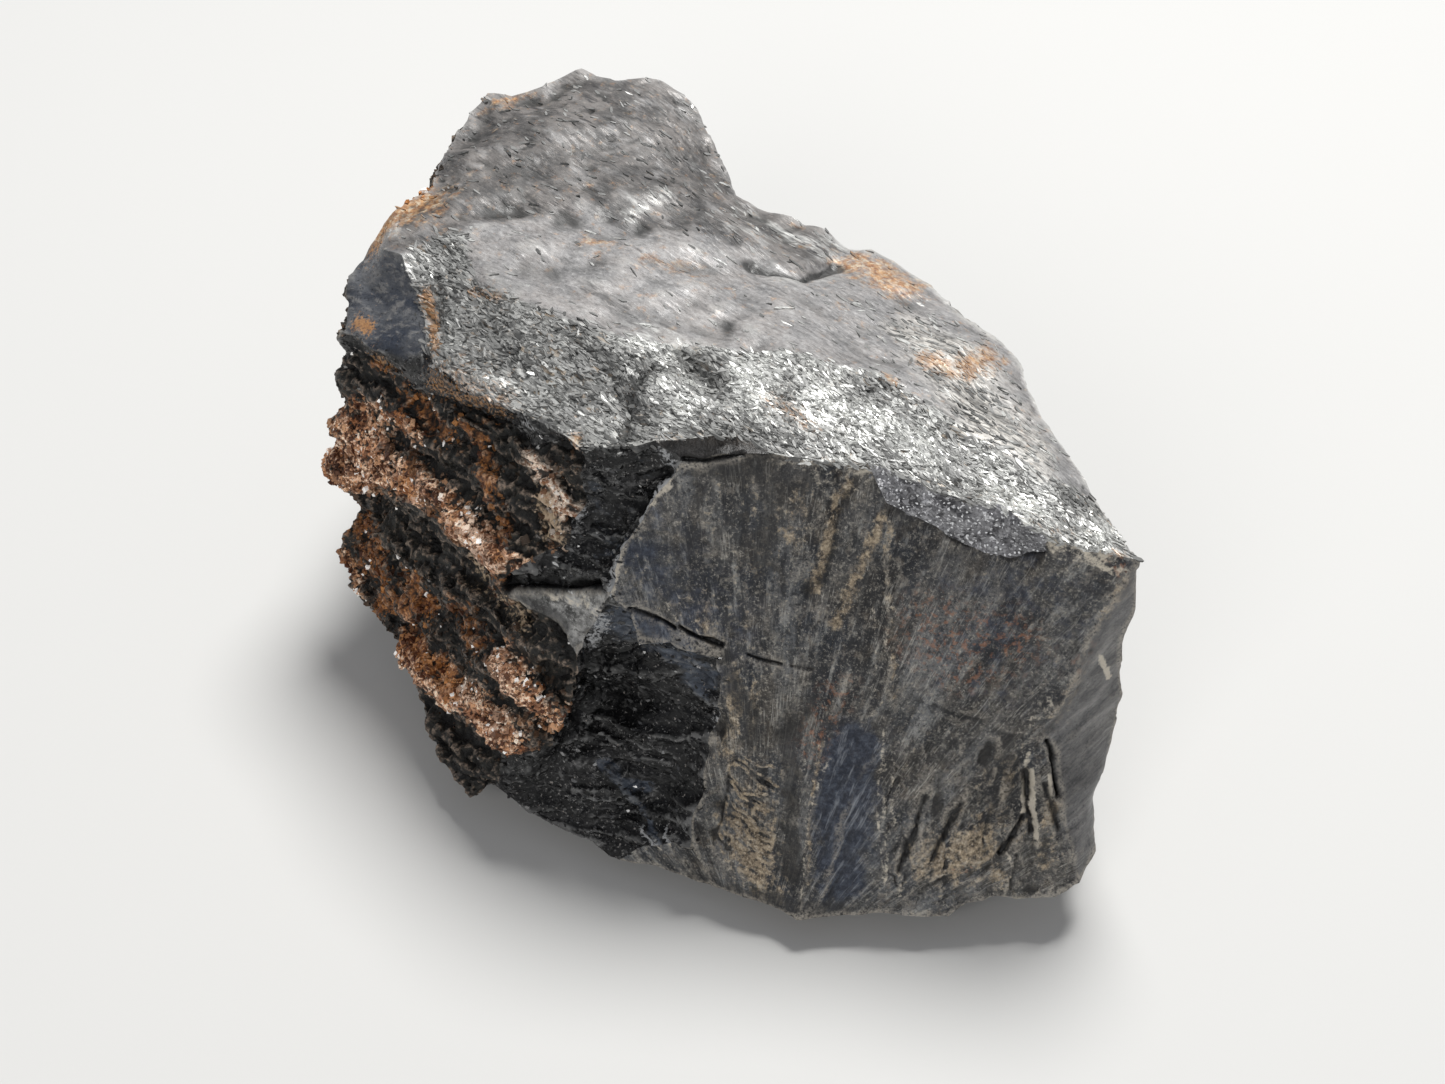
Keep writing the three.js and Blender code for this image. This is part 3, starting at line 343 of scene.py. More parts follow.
# Stains and minerals of each kind, with painted shade among the dark marks and painted highlights along
# some edges among the pale ones. Strength, half width: places along the line.
STAINS_AND_PAINTED_LIGHT = {
    "rust": """
1 2.3: -28.5 21.5 36.5, -25.5 23 37.5
0.9 1.8: 11.5 17.5 35, 15 15 35
0.8 1.1: 16 3.5 36.5, 18.5 2.5 36, 21.5 6 34.5
0.5 0.8: -19.5 36 39, -18.5 36.5 39
0.5 0.9: -11 16.5 39, -9 15.5 39
0.45 1: -5.5 13 39, -2.5 12 38.5
0.5 0.5: -20.5 11 38.5, -18 9.5 39
0.9 0.35: 13 -0.5 38, 13.5 -1 38
0.45 0.9: 4 -5 38.5, 6.5 -7 38
0.95 0.5: -24.5 12.5 36.5, -24 10 35.5, -23 7 35
0.8 0.7: -30.5 14 32, -29.5 13 32.5
1 0.5: -11.5 -7 37, -11.5 -7.5 36
0.5 1.6: -23 5 33, -20 2 34, -17.5 -1 35
1 0.5: -21 2 31, -20 0 30, -18.5 -2 29.5, -17 -4.5 28, -16.5 -6 26
0.8 0.8: -24 5.5 30, -22.5 3 30
0.7 1.2: -32.5 11 12.5, -30.5 7.5 12, -29.5 6.5 11
0.9 1: -29.5 6.5 7.5, -24.5 -0.5 13
0.5 1.5: -27.5 2.5 6, -24.5 -1 11
0.35 3: 16 -17 25.5, 21.5 -17 25
0.3 1.5: 9 -18 20.5, 7 -19.5 16
0.7 0.5: 27.5 -17.5 23.5, 28.5 -17.5 25.5
0.8 0.5: 29.5 -16.5 33, 30 -17 32.5
0.6 0.3: 18.5 -24 7, 19.5 -24 7
0.6 1.5: -31 9.5 9.5, -28 5 10, -26.5 1.5 13
0.5 1.3: -22.5 -3.5 15.5, -19.5 -8 16
1 0.8: -25 4 23.5, -22.5 0 22.5
0.9 1: -22 0.5 21.8, -19 -4 22, -16.5 -8 22.6
0.8 1: -26 -0.5 8.5, -22 -6.5 10
1 0.6: -20.5 1.5 31, -18.5 -3 28.5, -17 -6.5 25
0.8 1.3: -28.5 11 29.5, -25.5 7.5 29, -22.5 3 29.5
0.6 0.8: -19.5 36.5 39, -17 37.5 39.5
0.4 2.4: 16 -16.5 26.5, 18.5 -17.5 23.5
""",
    "pink": """
1 1.5: -33.5 12.5 17, -28 7.5 22, -24 3 23.5
0.85 0.95: -24 3 23.8, -20 -3.5 24, -15.5 -8 24.8
0.7 1.2: -32 12.5 22.5, -28.5 8.5 24, -29 8.5 21.5
0.9 1.6: -27 0 7, -23.5 -5 9, -20 -11 11.5, -17 -13.5 10.5
0.85 1.1: -18 -10.5 17, -15.5 -13 15.5, -13.5 -14 13.5
0.5 0.9: -32 8 7, -33.5 10 9.5
0.4 1: -13 -9 26.5, -11 -10.5 26.5
0.9 2.2: -32.5 12.5 19, -28 8 22.5, -24.5 4 24
0.6 1.3: -31 11.5 24.5, -27.5 8 26.5, -24.5 5 27.5
0.6 1: -22.5 -1 24, -19 -4.5 24.4
""",
    # pale: pale minerals, ridges and hairlines, and painted highlights along the left edge of the large
    # dark face and at the top of its right-hand edge.
    "pale": """
1 0.7: -27.5 21.5 37, -27 19.5 37
0.8 1: -7.5 20.5 38.5, -5 23 38
0.7 2: 2 23.5 36.5, 5.5 21 36, 9 19.5 35
0.9 0.9: -19.5 2 36, -17 0.5 36.5
1 0.45: -3.5 -2.5 39, -1.5 -2 39
0.7 2.4: -6.5 3.5 39.5, -1.5 -3.5 39
0.9 3: 1.5 -2 39, 6 -6 38, 13.5 -7.5 37.5
0.8 2: 18 -10.5 36.5, 24 -13 35.5, 28.5 -15.5 34
1 1.1: -14.5 -5 32, -13 -6 30.5, -12 -7 30
0.8 0.35: -6.5 -19 5, -5 -20 4.5
0.7 0.35: -4.5 -20 6, -4 -20.5 5
1 0.35: -4 -10 35.5, -6 -11 33.5, -8 -12 30.5, -8.5 -13 27.5
0.6 0.25: 12.5 -15.5 28, 12.5 -17.5 23.5
1.2 0.25: 29.5 -17 23.5, 30 -16.5 21
1.2 0.22: 24.4 -20.8 14, 24.7 -21.5 11.5, 25 -22.5 9
1.2 0.2: 25.8 -20.6 13.6, 26 -21.4 11.6
0.5 0.5: 25.5 -18.3 20, 24 -18.8 18.5
0.6 0.5: -1 -17.6 16.5, 1 -18 17.5
0.8 0.3: -4 -9.5 36.5, -5 -10.5 35, -6 -11 33.5, -7.5 -12 31.5
0.9 0.35: -7.5 -12 31.5, -8 -13 29, -8.5 -13.5 27
0.45 0.14: 11 -15 28.5, 11.5 -16.5 24.5, 11.5 -19 18.5
0.6 0.16: 12.5 -20 16.5, 12.5 -22 12.5, 12.5 -23.5 8.5, 13 -25 4
0.5 0.2: 13.5 -21 15, 13.5 -22 11.5, 14 -23.5 8.5, 14 -25 4
0.6 0.2: 6 -25.5 4, 6.5 -23 8, 7.5 -21.5 12, 8.5 -20 15
0.4 0.14: -1.5 -12 32, -1.5 -13 30, -1.5 -13.5 28
0.6 0.18: 1.5 -16 22.5, 2 -17.5 19, 2 -18.5 15
0.4 0.14: 3.5 -16.5 22.5, 3.5 -17.5 19, 3 -18.5 16.5
0.5 0.14: -5 -13.5 27.5, -4 -14.5 25.5, -2.5 -15 24.5
0.5 0.14: -4 -13.5 27.5, -2.5 -14.5 26, -1.5 -15.5 24
0.4 0.16: -6.5 -12.5 31, -6 -13 28.5, -6 -14 26.5
0.9 0.22: 24 -20 15.5, 24 -21 13, 24 -22 11
0.9 0.22: 24.5 -21.5 11.5, 25 -22.5 10, 25 -23 8.5
0.7 0.2: 22 -22.5 9.5, 22.5 -23 8.5, 23 -23.5 7
0.8 0.35: 28 -16.5 33, 29.5 -17 32, 30 -17 32.5
0.7 0.5: -13.5 -9.7 23.5, -10.5 -11.5 24
0.6 3: 16 -8.5 37, 22 -12 36, 28 -15.5 34.5
0.5 2.5: 3 -4 38.7, 10 -6 38
0.6 0.2: 12.5 -20 17.5, 13 -22 12.5, 13 -24.5 6
0.7 0.6: -13.5 -7 28.5, -13 -8 27.5
0.5 0.5: -20 -3 24.2, -17 -7.5 24.3
0.35 0.6: -18 -11 16.5, -16.5 -13 14.5, -18 -13 11
0.6 0.7: -11 -12 25, -9.5 -12.5 22.5, -10.5 -11.5 19.5
0.7 2: 1.5 20.5 37, 5 20.5 36.5, 8.5 20 35.5
1.3 0.5: -2.6 -1.6 39, -1.6 -2.1 39
1.5 0.35: -22 -7 11.5, -21.6 -7.8 11.5
""",
    "tan": """
0.9 1.1: -13.5 -6.5 29.5, -13 -7.5 28
0.35 1.8: -6.5 -12.5 31, -5.5 -14 26.5, -2.5 -14 26.5
1.5 0.5: 9.5 -11 36, 8 -12.5 32.5, 7 -14.5 28
1.5 0.5: 12 -12 33.5, 10 -14.5 29, 8.5 -15.5 25.5
0.5 1.5: 6 -11 36, 5 -12 32.5
0.7 0.9: 1 -16.5 22.5, 1 -17.5 17, 0 -18.5 13.5
0.5 0.7: 2.5 -17 21, 2.5 -18.5 15.5
0.7 1.8: 16.5 -23.5 7.5, 21 -23 9.5, 22.5 -21 13
0.8 0.7: 30.5 -17 31.5, 29 -17 27, 27.5 -17.5 22.5, 26 -18.5 18
0.6 0.6: 25.5 -23.5 7, 26.5 -21.5 12
0.6 1: -21 -3 20, -18 -7 20.5, -16.5 -9.5 20.5
0.5 0.8: 16.5 -24 6, 21 -23.5 7.5
0.5 0.8: 17.5 -24.5 5, 22 -24 6.5
0.8 0.3: 16.5 -24 6, 19 -23.5 7, 21 -23.5 7.5
0.8 0.3: 17.5 -24.5 5, 19.5 -24.5 6, 22 -24 6.5
0.8 0.3: 17 -23.5 7.5, 19 -23.5 8, 21 -23 9
0.8 0.35: 28 -17.5 26, 27.5 -17.5 23.5, 26.5 -18 21, 25.5 -18.5 19
0.5 3: 15 8 35.5, 20 2 35.8, 24 -6 35.2
1 0.7: -24 12 36, -23.6 9.5 35.4, -23 7 34.8
0.35 2.5: 2 -11.5 35.5, 2.5 -13.5 31, 1.5 -15 27
0.9 2.2: 2 -22.5 9, 3 -24 5
0.9 0.3: 8 -19.5 16.5, 7.5 -21.5 12, 6.5 -24.5 6
0.8 0.35: 12.5 -12 33.5, 12.5 -15.5 28, 13 -19 20.5
0.5 0.9: 1.5 -10.5 36, 2 -13 30, 1.5 -15.5 24
0.6 0.8: -1.5 -14 27, -1 -15.5 24
0.9 3: 17.5 5.5 36, 20.5 -3.5 36, 22.5 -9.5 36
""",
    "blue": """
0.9 0.4: -9.5 -15.5 9, -7.5 -17.5 7.5, -5 -20 5
0.8 2.2: -7.5 -13.5 22.5, -5 -15.5 23, -2 -15.5 20.5
1 1.9: 10.5 -20 16, 10 -22 11.5, 9.5 -24 6
0.42 4: -7 -13.5 30, -5 -14.5 27, -1.5 -15.5 25
0.35 2.5: -5 -12 34, -3 -12.5 32
0.35 5: 22 -15 29, 20 -17 24
0.35 3: 24 -16 32.5, 26 -17 27
0.9 0.6: -10 -15 9, -8.5 -16.5 8.5, -6.5 -17.5 8.5
""",
    # dark: darker patches of the stone, and painted shade in the troughs and grooves of the crust, under
    # the lip of the top, in the step, notch and groove of the top, in the brown band under its front edge,
    # in the slit and along the crack, and along the lower front edge.
    "dark": """
0.9 0.9: -22.5 33 38.5, -19.5 31.5 38.5
0.8 0.6: -10.5 22.5 39, -8 18 39
0.8 0.6: -2.5 23 37.5, -1 18 38
0.7 0.6: -11 10 39, -8 6.5 39.5
0.9 0.5: -5.5 -1 39, -7 -3.5 38.5, -7.5 -8 37.5
0.9 0.8: -4 -1.5 39, -2.5 1 39, 0 0 39
0.7 0.5: 3 15.5 37.5, 5.5 13.5 37, 7.5 14.5 36.5
0.6 0.5: 10.5 -1 38, 13 -4.5 37.5, 14 -5.5 37.5
0.5 0.7: 17 6 35.5, 18.5 4.5 35.5
0.6 0.4: 18 0 36.5, 20 -1 36
0.5 3: -21.5 9.5 37.5, -17.5 4.5 37.5, -20 4 36
0.5 2: -13 4 39, -9 -0.5 38.5
1 0.8: -26.5 6.5 24.5, -23 2 27, -19.5 -3 27.5
0.9 1.5: -28.5 7 17, -23.5 0 19.5, -20.5 -4 20
0.7 1.4: -24.5 -5.5 5.5, -21 -11 7, -18.5 -13 5.5
0.8 0.9: -32 13 26.5, -26.5 9 29
0.7 2: -17.5 -0.5 31.5, -16 -6 27.5
0.5 1: -1.5 -10.5 35.5, -2.5 -12.5 31.5
0.5 1: 2 -10.5 37, 1.5 -12.5 31.5
1 1: -14.5 -9.5 22, -14 -11 20, -13.5 -11.5 18.5
0.9 1.2: -6 -9 37.5, 0 -10 37, 6 -11 36.5
0.7 1.4: 4 -10.5 37, 3.5 -12 33, 3 -13 30
0.7 1.2: 1 -16.5 20.5, 2.5 -18.5 16.5
0.8 0.8: 5.2 -19 17.5, 5.4 -21.5 12, 5 -24.5 6
0.6 1.2: 12 -11 36, 14 -12.5 33.5
1 1: -27 7 25, -24 3 26
0.9 0.9: -23.5 1.5 23, -21.5 -1.5 22.5
0.7 0.7: -21 -2 20.5, -18 -6 21.3, -16 -8.8 22
0.9 0.8: -15.5 -9.5 22.5, -13 -11.5 21.5
0.6 1.5: 21.5 -19.5 17, 22.5 -21.5 12
0.8 0.9: -2 -21.5 2.5, 4.5 -25 3.5, 9.5 -25.5 3.5
0.9 0.8: -6.5 -15 23, -2 -15.5 21
0.8 0.6: -10.5 -12.5 21.5, -8 -13 21
1 0.7: -7 -13.5 22, -4 -15.5 22, 0 -16 22.5
0.7 1.2: -10.5 23 39, -7 25.5 38.5
0.6 0.8: -14 -4.5 36.5, -10 -7.5 37.5
1 0.7: -3.5 0 39, -1.5 0.5 39, 0.5 -2 39
0.9 0.5: -1.5 -3 39, 1 -3.5 38.5
""",
}


def read_places(text):
    """Places written as "x y z, x y z"."""
    return np.array([place.split() for place in text.split(",")], float)


def read_rows(text):
    """The two sides of each row "head: body", without the rows that are remarks."""
    rows = [row.split(":") for row in text.strip().splitlines() if not row.startswith("#")]
    return [(head.split(), body) for head, body in rows]


def read_lines(text):
    """Height, half width and places of each row."""
    return [(float(height), float(width), read_places(body)) for (height, width), body in read_rows(text)]


def read_loop(text):
    """Corners as (group, number), where "rim3-1" stands for rim3, rim2 and rim1."""
    for group, first, last in re.findall(r"([a-z]+)(\d+)-?(\d*)", text):
        first, last = int(first), int(last or first)
        step = 1 if last >= first else -1
        yield from ((group, number) for number in range(first, last + step, step))


CORNERS = {group: read_places(text) for group, text in CORNERS.items()}
FACES = [(skin, float(dish), list(read_loop(loop))) for (skin, dish), loop in read_rows(FACES)]
STROKES = read_lines(STROKES)
FINE_STROKES = read_lines(FINE_STROKES)
STAINS_AND_PAINTED_LIGHT = {kind: read_lines(text) for kind, text in STAINS_AND_PAINTED_LIGHT.items()}

FACE_SKIN = np.array([SKIN_NAMES.index(skin) for skin, _, _ in FACES])
FACE_DISH = np.array([dish for _, dish, _ in FACES])


def of_skins(key):
    return np.array([skin[key] for skin in SKINS.values()])


FAMILIES, SKIN_FAMILY = np.unique(of_skins("family"), return_inverse=True)

# ---- noises ---------------------------------------------------------------------------


# The solid's sine hash.
HASH_X, HASH_Y, HASH_Z, HASH_SIZE = 12.9898, 78.233, 37.719, 43758.5453
# Offsets of the six random numbers of a plate: three for its place, three for its tilt.
PLATE_SEEDS = (0.0, 7.1, 13.7, 21.3, 29.9, 35.1)


def cell_value(x, y, z):
    """A number between 0 and 1 that looks random, but is always the same for a cell."""
    value = np.sin(x * HASH_X + y * HASH_Y + z * HASH_Z) * HASH_SIZE
    return value - np.floor(value)


def noise(points, size, shift=0.0):
    """Smooth noise between -1 and 1, the same as in the solid."""
    place = points / size + shift
    cell = np.floor(place)
    u, v, w = (ease * ease * (3 - 2 * ease) for ease in (place - cell).T)
    x, y, z = cell.T

    def row(j, k):
        return cell_value(x, y + j, z + k) * (1 - u) + cell_value(x + 1, y + j, z + k) * u

    near = row(0, 0) * (1 - v) + row(1, 0) * v
    far = row(0, 1) * (1 - v) + row(1, 1) * v
    return 2 * (near * (1 - w) + far * w) - 1


def plates(points, size, shift):
    """Flat plates, each tilted its own way, as on a broken crystalline face: -1 to 1."""
    place = points / size + shift
    cell = np.floor(place)
    nearest = np.full(len(points), np.inf)
    height = np.zeros(len(points))
    for step in np.ndindex(3, 3, 3):
        x, y, z = (cell + step - 1).T
        seeds = np.stack([cell_value(x + s, y - s, z + 2 * s) for s in PLATE_SEEDS], 1)
        offset = place - (cell + step - 1) - seeds[:, :3]
        distance = (offset ** 2).sum(1)
        closer = distance < nearest
        nearest[closer] = distance[closer]
        height[closer] = (offset * (seeds[:, 3:] * 2 - 1)).sum(1)[closer]
    return height


def squeezed(points, along, shrink):
    """Points pulled together along one direction, so that noise is drawn out along it."""
    direction = np.array(along)
    return points + np.outer(points @ direction * (shrink - 1), direction)


def relief(points, *terms):
    """A sum of noises. Term: height, kind, size, shift, and the direction it is drawn out along."""
    total = np.zeros(len(points))
    for height, kind, size, shift, *drawn in terms:
        total += height * kind(squeezed(points, *drawn) if drawn else points, size, shift)
    return total


def smooth_step(value, low, high):
    share = np.clip((value - low) / (high - low), 0, 1)
    return share * share * (3 - 2 * share)


def wave(phase):
    return np.sin(2 * math.pi * phase)


# ---- the surface ----------------------------------------------------------------------


def unit(vectors):
    return vectors / np.linalg.norm(vectors, axis=1)[:, None]


def parts_of_one(values):
    return values / values.sum(1)[:, None]


def cross_of(corners):
    """The normals of triangles, as long as twice their area."""
    return np.cross(corners[:, 1] - corners[:, 0], corners[:, 2] - corners[:, 0])


class Surface:
    """A closed mesh: points, what they carry, triangles, and the cage face of each triangle."""

    def __init__(self, points, carried, triangles, face_of):
        self.points, self.carried = np.array(points), np.array(carried)
        self.triangles, self.face_of = np.array(triangles), np.array(face_of)

    def skin(self):
        """Number of the skin of each triangle."""
        return FACE_SKIN[self.face_of]

    def edges(self):
        """Each edge once, as two points, and the three edge numbers of each triangle."""
        count = len(self.points)
        sides = np.sort(np.stack([self.triangles, np.roll(self.triangles, -1, axis=1)], 2), axis=2)
        unique, number = np.unique(sides[:, :, 0] * count + sides[:, :, 1], return_inverse=True)
        return np.stack([unique // count, unique % count], 1), number.reshape(-1, 3)

    def split(self, longest, shorten=None):
        """Halves the edges that are too long until none is, with what their points carry."""
        while True:
            edges, number = self.edges()
            limit = np.full(len(edges), np.inf)
            np.minimum.at(limit, number.ravel(), np.repeat(longest[self.skin()], 3))
            middles, held = self.points[edges].mean(1), self.carried[edges].mean(1)
            length = np.linalg.norm(self.points[edges[:, 0]] - self.points[edges[:, 1]], axis=1)
            if shorten:
                shorten(middles, held[:, :3], length, limit)
            long = length > limit
            if not long.any():
                break
            middle = np.full(len(edges), -1)
            middle[long] = len(self.points) + np.arange(long.sum())
            self.points = np.concatenate([self.points, middles[long]])
            self.carried = np.concatenate([self.carried, held[long]])
            self.split_triangles(middle[number])
        self.find_neighbours()

    def split_triangles(self, middles):
        """Each triangle into one to four, depending on which of its edges have a middle point."""
        cuts = (middles >= 0).sum(1)
        # turn the triangles so that the one cut edge is first, or the one whole edge is second
        first = np.argmax(middles >= 0, axis=1)
        whole = (np.argmin(middles >= 0, axis=1) - 1) % 3
        turn = np.where(cuts == 1, first, np.where(cuts == 2, whole, 0))
        order = (np.arange(3) + turn[:, None]) % 3
        a, b, c = np.take_along_axis(self.triangles, order, 1).T
        ab, bc, ca = np.take_along_axis(middles, order, 1).T
        none, one, two, three = (cuts == n for n in range(4))
        straight = np.linalg.norm(self.points[ab] - self.points[c], axis=1)
        crossed = np.linalg.norm(self.points[b] - self.points[ca], axis=1)
        short = two & (straight < crossed)
        long = two & ~short
        pieces = [
            (none, (a, b, c)),
            (one, (a, ab, c)), (one, (ab, b, c)),
            (two, (a, ab, ca)),
            (short, (ab, b, c)), (short, (ab, c, ca)),
            (long, (ab, b, ca)), (long, (b, c, ca)),
            (three, (a, ab, ca)), (three, (ab, b, bc)), (three, (ca, bc, c)), (three, (ab, bc, ca)),
        ]
        self.triangles = np.concatenate([np.stack(piece, 1)[mask] for mask, piece in pieces])
        self.face_of = np.concatenate([self.face_of[mask] for mask, _ in pieces])

    def find_neighbours(self):
        """For every point, the points that share an edge with it."""
        edges, _ = self.edges()
        ways = np.concatenate([edges, edges[:, ::-1]])
        self.others = ways[np.argsort(ways[:, 0], kind="stable"), 1]
        self.count = np.bincount(ways[:, 0])
        self.first = np.cumsum(self.count) - self.count

    def total(self, values):
        return np.add.reduceat(values[self.others], self.first, axis=0)

    def average(self, values):
        """Mean of each point and its neighbours."""
        whole = (self.count + 1).reshape([-1] + [1] * (values.ndim - 1))
        return (values + self.total(values)) / whole

    def blended(self, values, scaled, passes):
        """Values mixed with their neighbours', and scaled each time."""
        values = scaled(values)
        for _ in range(passes):
            values = scaled(values + self.total(values))
        return values

    def normals(self, passes):
        cross = np.repeat(cross_of(self.points[self.triangles]), 3, axis=0)
        normals = [np.bincount(self.triangles.ravel(), axis) for axis in cross.T]
        return self.blended(np.stack(normals, 1), unit, passes)

    def shares(self, passes):
        """How much of each skin there is at each point."""
        shares = np.zeros((len(self.points), len(SKINS)))
        for corner in self.triangles.T:
            np.add.at(shares, (corner, self.skin()), 1)
        return self.blended(shares, parts_of_one, passes)

    def on_border(self):
        """Whether two families of skins meet at a point."""
        family = SKIN_FAMILY[self.skin()]
        low, high = np.full(len(self.points), len(FAMILIES)), np.full(len(self.points), -1)
        for corner in self.triangles.T:
            np.minimum.at(low, corner, family)
            np.maximum.at(high, corner, family)
        return low != high

    def ease(self, passes_of_skin):
        """Smooths the creases inside a family of skins and leaves its borders as they are."""
        passes = np.zeros(len(self.points))
        for corner in self.triangles.T:
            passes[corner] = passes_of_skin[self.skin()]
        passes[self.on_border()] = 0
        for step in range(int(passes.max())):
            self.points = np.where((passes > step)[:, None], self.average(self.points), self.points)

    def dish(self, depth):
        """Hollows each cage face; a depth of one is the middle of the face."""
        cross = cross_of(self.points[self.triangles])
        normals = unit(np.stack([np.bincount(self.face_of, axis) for axis in cross.T], 1))
        face = np.zeros(len(self.points), int)
        face[self.triangles.ravel()] = np.repeat(self.face_of, 3)
        sunk = FACE_DISH[face] * (1 - (1 - depth) ** 2)
        self.points = self.points - normals[face] * sunk[:, None]


def build_cage():
    """A fan of triangles for every face, round a middle point that is its deepest."""
    places = {}
    points, depth, triangles, face_of = [], [], [], []
    for face, (_, _, loop) in enumerate(FACES):
        for group, number in loop:
            if (group, number) not in places:
                places[group, number] = len(points)
                points.append(CORNERS[group][number])
                depth.append(0.0)
        ring = [places[corner] for corner in loop]
        triangles += [(len(points), start, end) for start, end in zip(ring, ring[1:] + ring[:1])]
        face_of += [face] * len(ring)
        points.append(np.mean([points[place] for place in ring], axis=0))
        depth.append(1.0)
    return Surface(points, depth, triangles, face_of)


# ---- strokes, stains, painted shade and highlights ------------------------------------

ALONG_SURFACE = 0.9  # how much of a place's distance off the surface is left out
LINE_MARGIN = 2.0  # how far round a line is looked at
THIN_LINE = 0.4  # half width of the widest line that gets a finer mesh
LINE_REACH = 0.7  # how far beside it the mesh is finer, in half widths
SHORTEST_EDGE = 0.18  # the finest that mesh gets
STAIN_FALL = 0.7  # how fast a stain fades with its distance squared, in half widths


def line_distance(points, line, normals=None):
    """How far points are from a line; with normals, measured along the surface."""
    nearest = np.full(len(points), np.inf)
    for start, end in zip(line[:-1], line[1:]):
        run = end - start
        share = np.clip((points - start) @ run / max(run @ run, 1e-9), 0, 1)
        offset = points - start - share[:, None] * run
        if normals is not None:
            offset = offset - ALONG_SURFACE * (offset * normals).sum(1)[:, None] * normals
        nearest = np.minimum(nearest, np.linalg.norm(offset, axis=1))
    return nearest


def near_line(points, line):
    inside = (points > line.min(0) - LINE_MARGIN) & (points < line.max(0) + LINE_MARGIN)
    return np.flatnonzero(inside.all(1))


def stroke_height(points):
    return sum(rise * np.exp(-((line_distance(points, line) / half_width) ** 2))
               for rise, half_width, line in STROKES)


def fine_stroke_height(points, normals):
    """Cracks, slits and lips with ragged borders."""
    shaky = relief(points, (0.5, noise, 0.7, 4.6), (0.4, noise, 1.9, 3.3))
    height = np.zeros(len(points))
    for rise, half_width, line in FINE_STROKES:
        near = near_line(points, line)
        distance = line_distance(points[near], line, normals[near]) / half_width + shaky[near]
        height[near] += rise * np.exp(-(distance ** 2))
    return height


def shorten_near_lines(middles, normals, length, limit):
    """Shorter edges beside the fine strokes and thin stains, so that the mesh can hold them."""
    for _, half_width, line in sum(STAINS_AND_PAINTED_LIGHT.values(), FINE_STROKES):
        if half_width > THIN_LINE:
            continue
        near = near_line(middles, line)
        distance = line_distance(middles[near], line, normals[near])
        near = near[distance < LINE_REACH * half_width + 0.5 * length[near]]
        limit[near] = np.minimum(limit[near], max(half_width, SHORTEST_EDGE))


def stain_and_painted_light_strength(points, normals, lines):
    """How strong each kind of mark is at each point: stains, and among the dark and pale marks painted
    shade and painted highlights.
    """
    marks = [full * np.exp(-STAIN_FALL * (line_distance(points, line, normals) / half_width) ** 2)
             for full, half_width, line in lines]
    return np.max(marks, axis=0)


# ---- the relief of the solid ----------------------------------------------------------


# Shifts pick the part of a noise that is read. The heights and lengths are in millimetres.
LUMP_SHIFT, LEDGE_SHIFT, RIB_SHIFT, STREAK_SHIFT = 5.3, 9.1, 3.7, 1.9
LEDGE_START = 0.55  # share of a ledge that is flat
RIB_WOBBLE, RIB_WOBBLE_SIZE = 0.35, 7


def lump_height(points, height, size):
    return height * noise(points, size, LUMP_SHIFT)


def ledge_height(points, height, size, count):
    level = noise(points, size, LEDGE_SHIFT) * count
    step = np.floor(level)
    return height * (step + smooth_step(level - step, LEDGE_START, 1)) / count


def rib_height(points, height, pitch, across):
    wobble = RIB_WOBBLE * noise(points, RIB_WOBBLE_SIZE, RIB_SHIFT)
    return height * np.cos(2 * math.pi * (points @ np.array(across) / pitch + wobble))


def streak_height(points, height, length, width, along):
    return relief(points, (height, noise, width, STREAK_SHIFT, along, width / length))


SKIN_FORMS = {"lump": lump_height, "ledge": ledge_height, "rib": rib_height, "streak": streak_height}
WANDER = [(0.55, 6.5), (0.22, 2.6)]  # distance, length
WANDER_SHIFTS = (11.3, 23.9, 37.1)
CORNER_HOLD = 2.5  # nearer to a corner than this, the drift fades out


def skin_height(points, shares):
    height = np.zeros(len(points))
    for share, skin in zip(shares.T, SKINS.values()):
        for kind, form in SKIN_FORMS.items():
            if kind in skin:
                height += share * form(points, *skin[kind])
    return height


def wander(points):
    """A slow sideways drift of everything but the corners."""
    offset = [relief(points, *((distance, noise, length, shift) for distance, length in WANDER))
              for shift in WANDER_SHIFTS]
    near = np.full(len(points), np.inf)
    for corner in np.concatenate(list(CORNERS.values())):
        near = np.minimum(near, ((points - corner) ** 2).sum(1))
    return np.stack(offset, 1) * smooth_step(np.sqrt(near), 0, CORNER_HOLD)[:, None]


# ---- the relief of each mineral, finer than the solid holds ---------------------------


# Pitch: from one to the next. Drop: the share of a ledge after which it falls away.
BLACK_LEDGE_PITCH, BLACK_LEDGE_HEIGHT, BLACK_LEDGE_DROP = 1.7, 0.5, 0.72
FOLIA_PITCH, FOLIA_HEIGHT, PIT_DEPTH = 1.25, 0.16, 0.6
FINE_RIB_PITCH, FINE_RIB_HEIGHT = 0.58, 0.07
HACKLE_DRAWN = 0.1  # how far the hackles are pulled together along the fan


def black_ledges(points):
    """Saw-toothed ledges that run across the hollows, come and go, and are chipped."""
    bends = relief(points, (0.9, noise, 2.6, 2.7, HOLLOW_ALONG, 0.4), (0.25, noise, 1, 6.6))
    phase = points @ np.array(HOLLOW_DOWN) / BLACK_LEDGE_PITCH + bends
    tooth = phase - np.floor(phase)
    strength = smooth_step(relief(points, (1, noise, 2.9, 7.2, HOLLOW_ALONG, 0.4)), -0.6, 0.3)
    return BLACK_LEDGE_HEIGHT * strength * (tooth - smooth_step(tooth, BLACK_LEDGE_DROP, 1))


def crust_folia(points):
    """Faint folia across the crust, and pits."""
    phase = points @ np.array(CRUST_ACROSS) / FOLIA_PITCH + 0.7 * noise(points, 3.2, 8.3)
    folia = FOLIA_HEIGHT * wave(phase) * smooth_step(noise(points, 4, 3.7), -0.4, 0.5)
    return folia - PIT_DEPTH * smooth_step(noise(points, 1.6, 2.9), 0.25, 0.6)


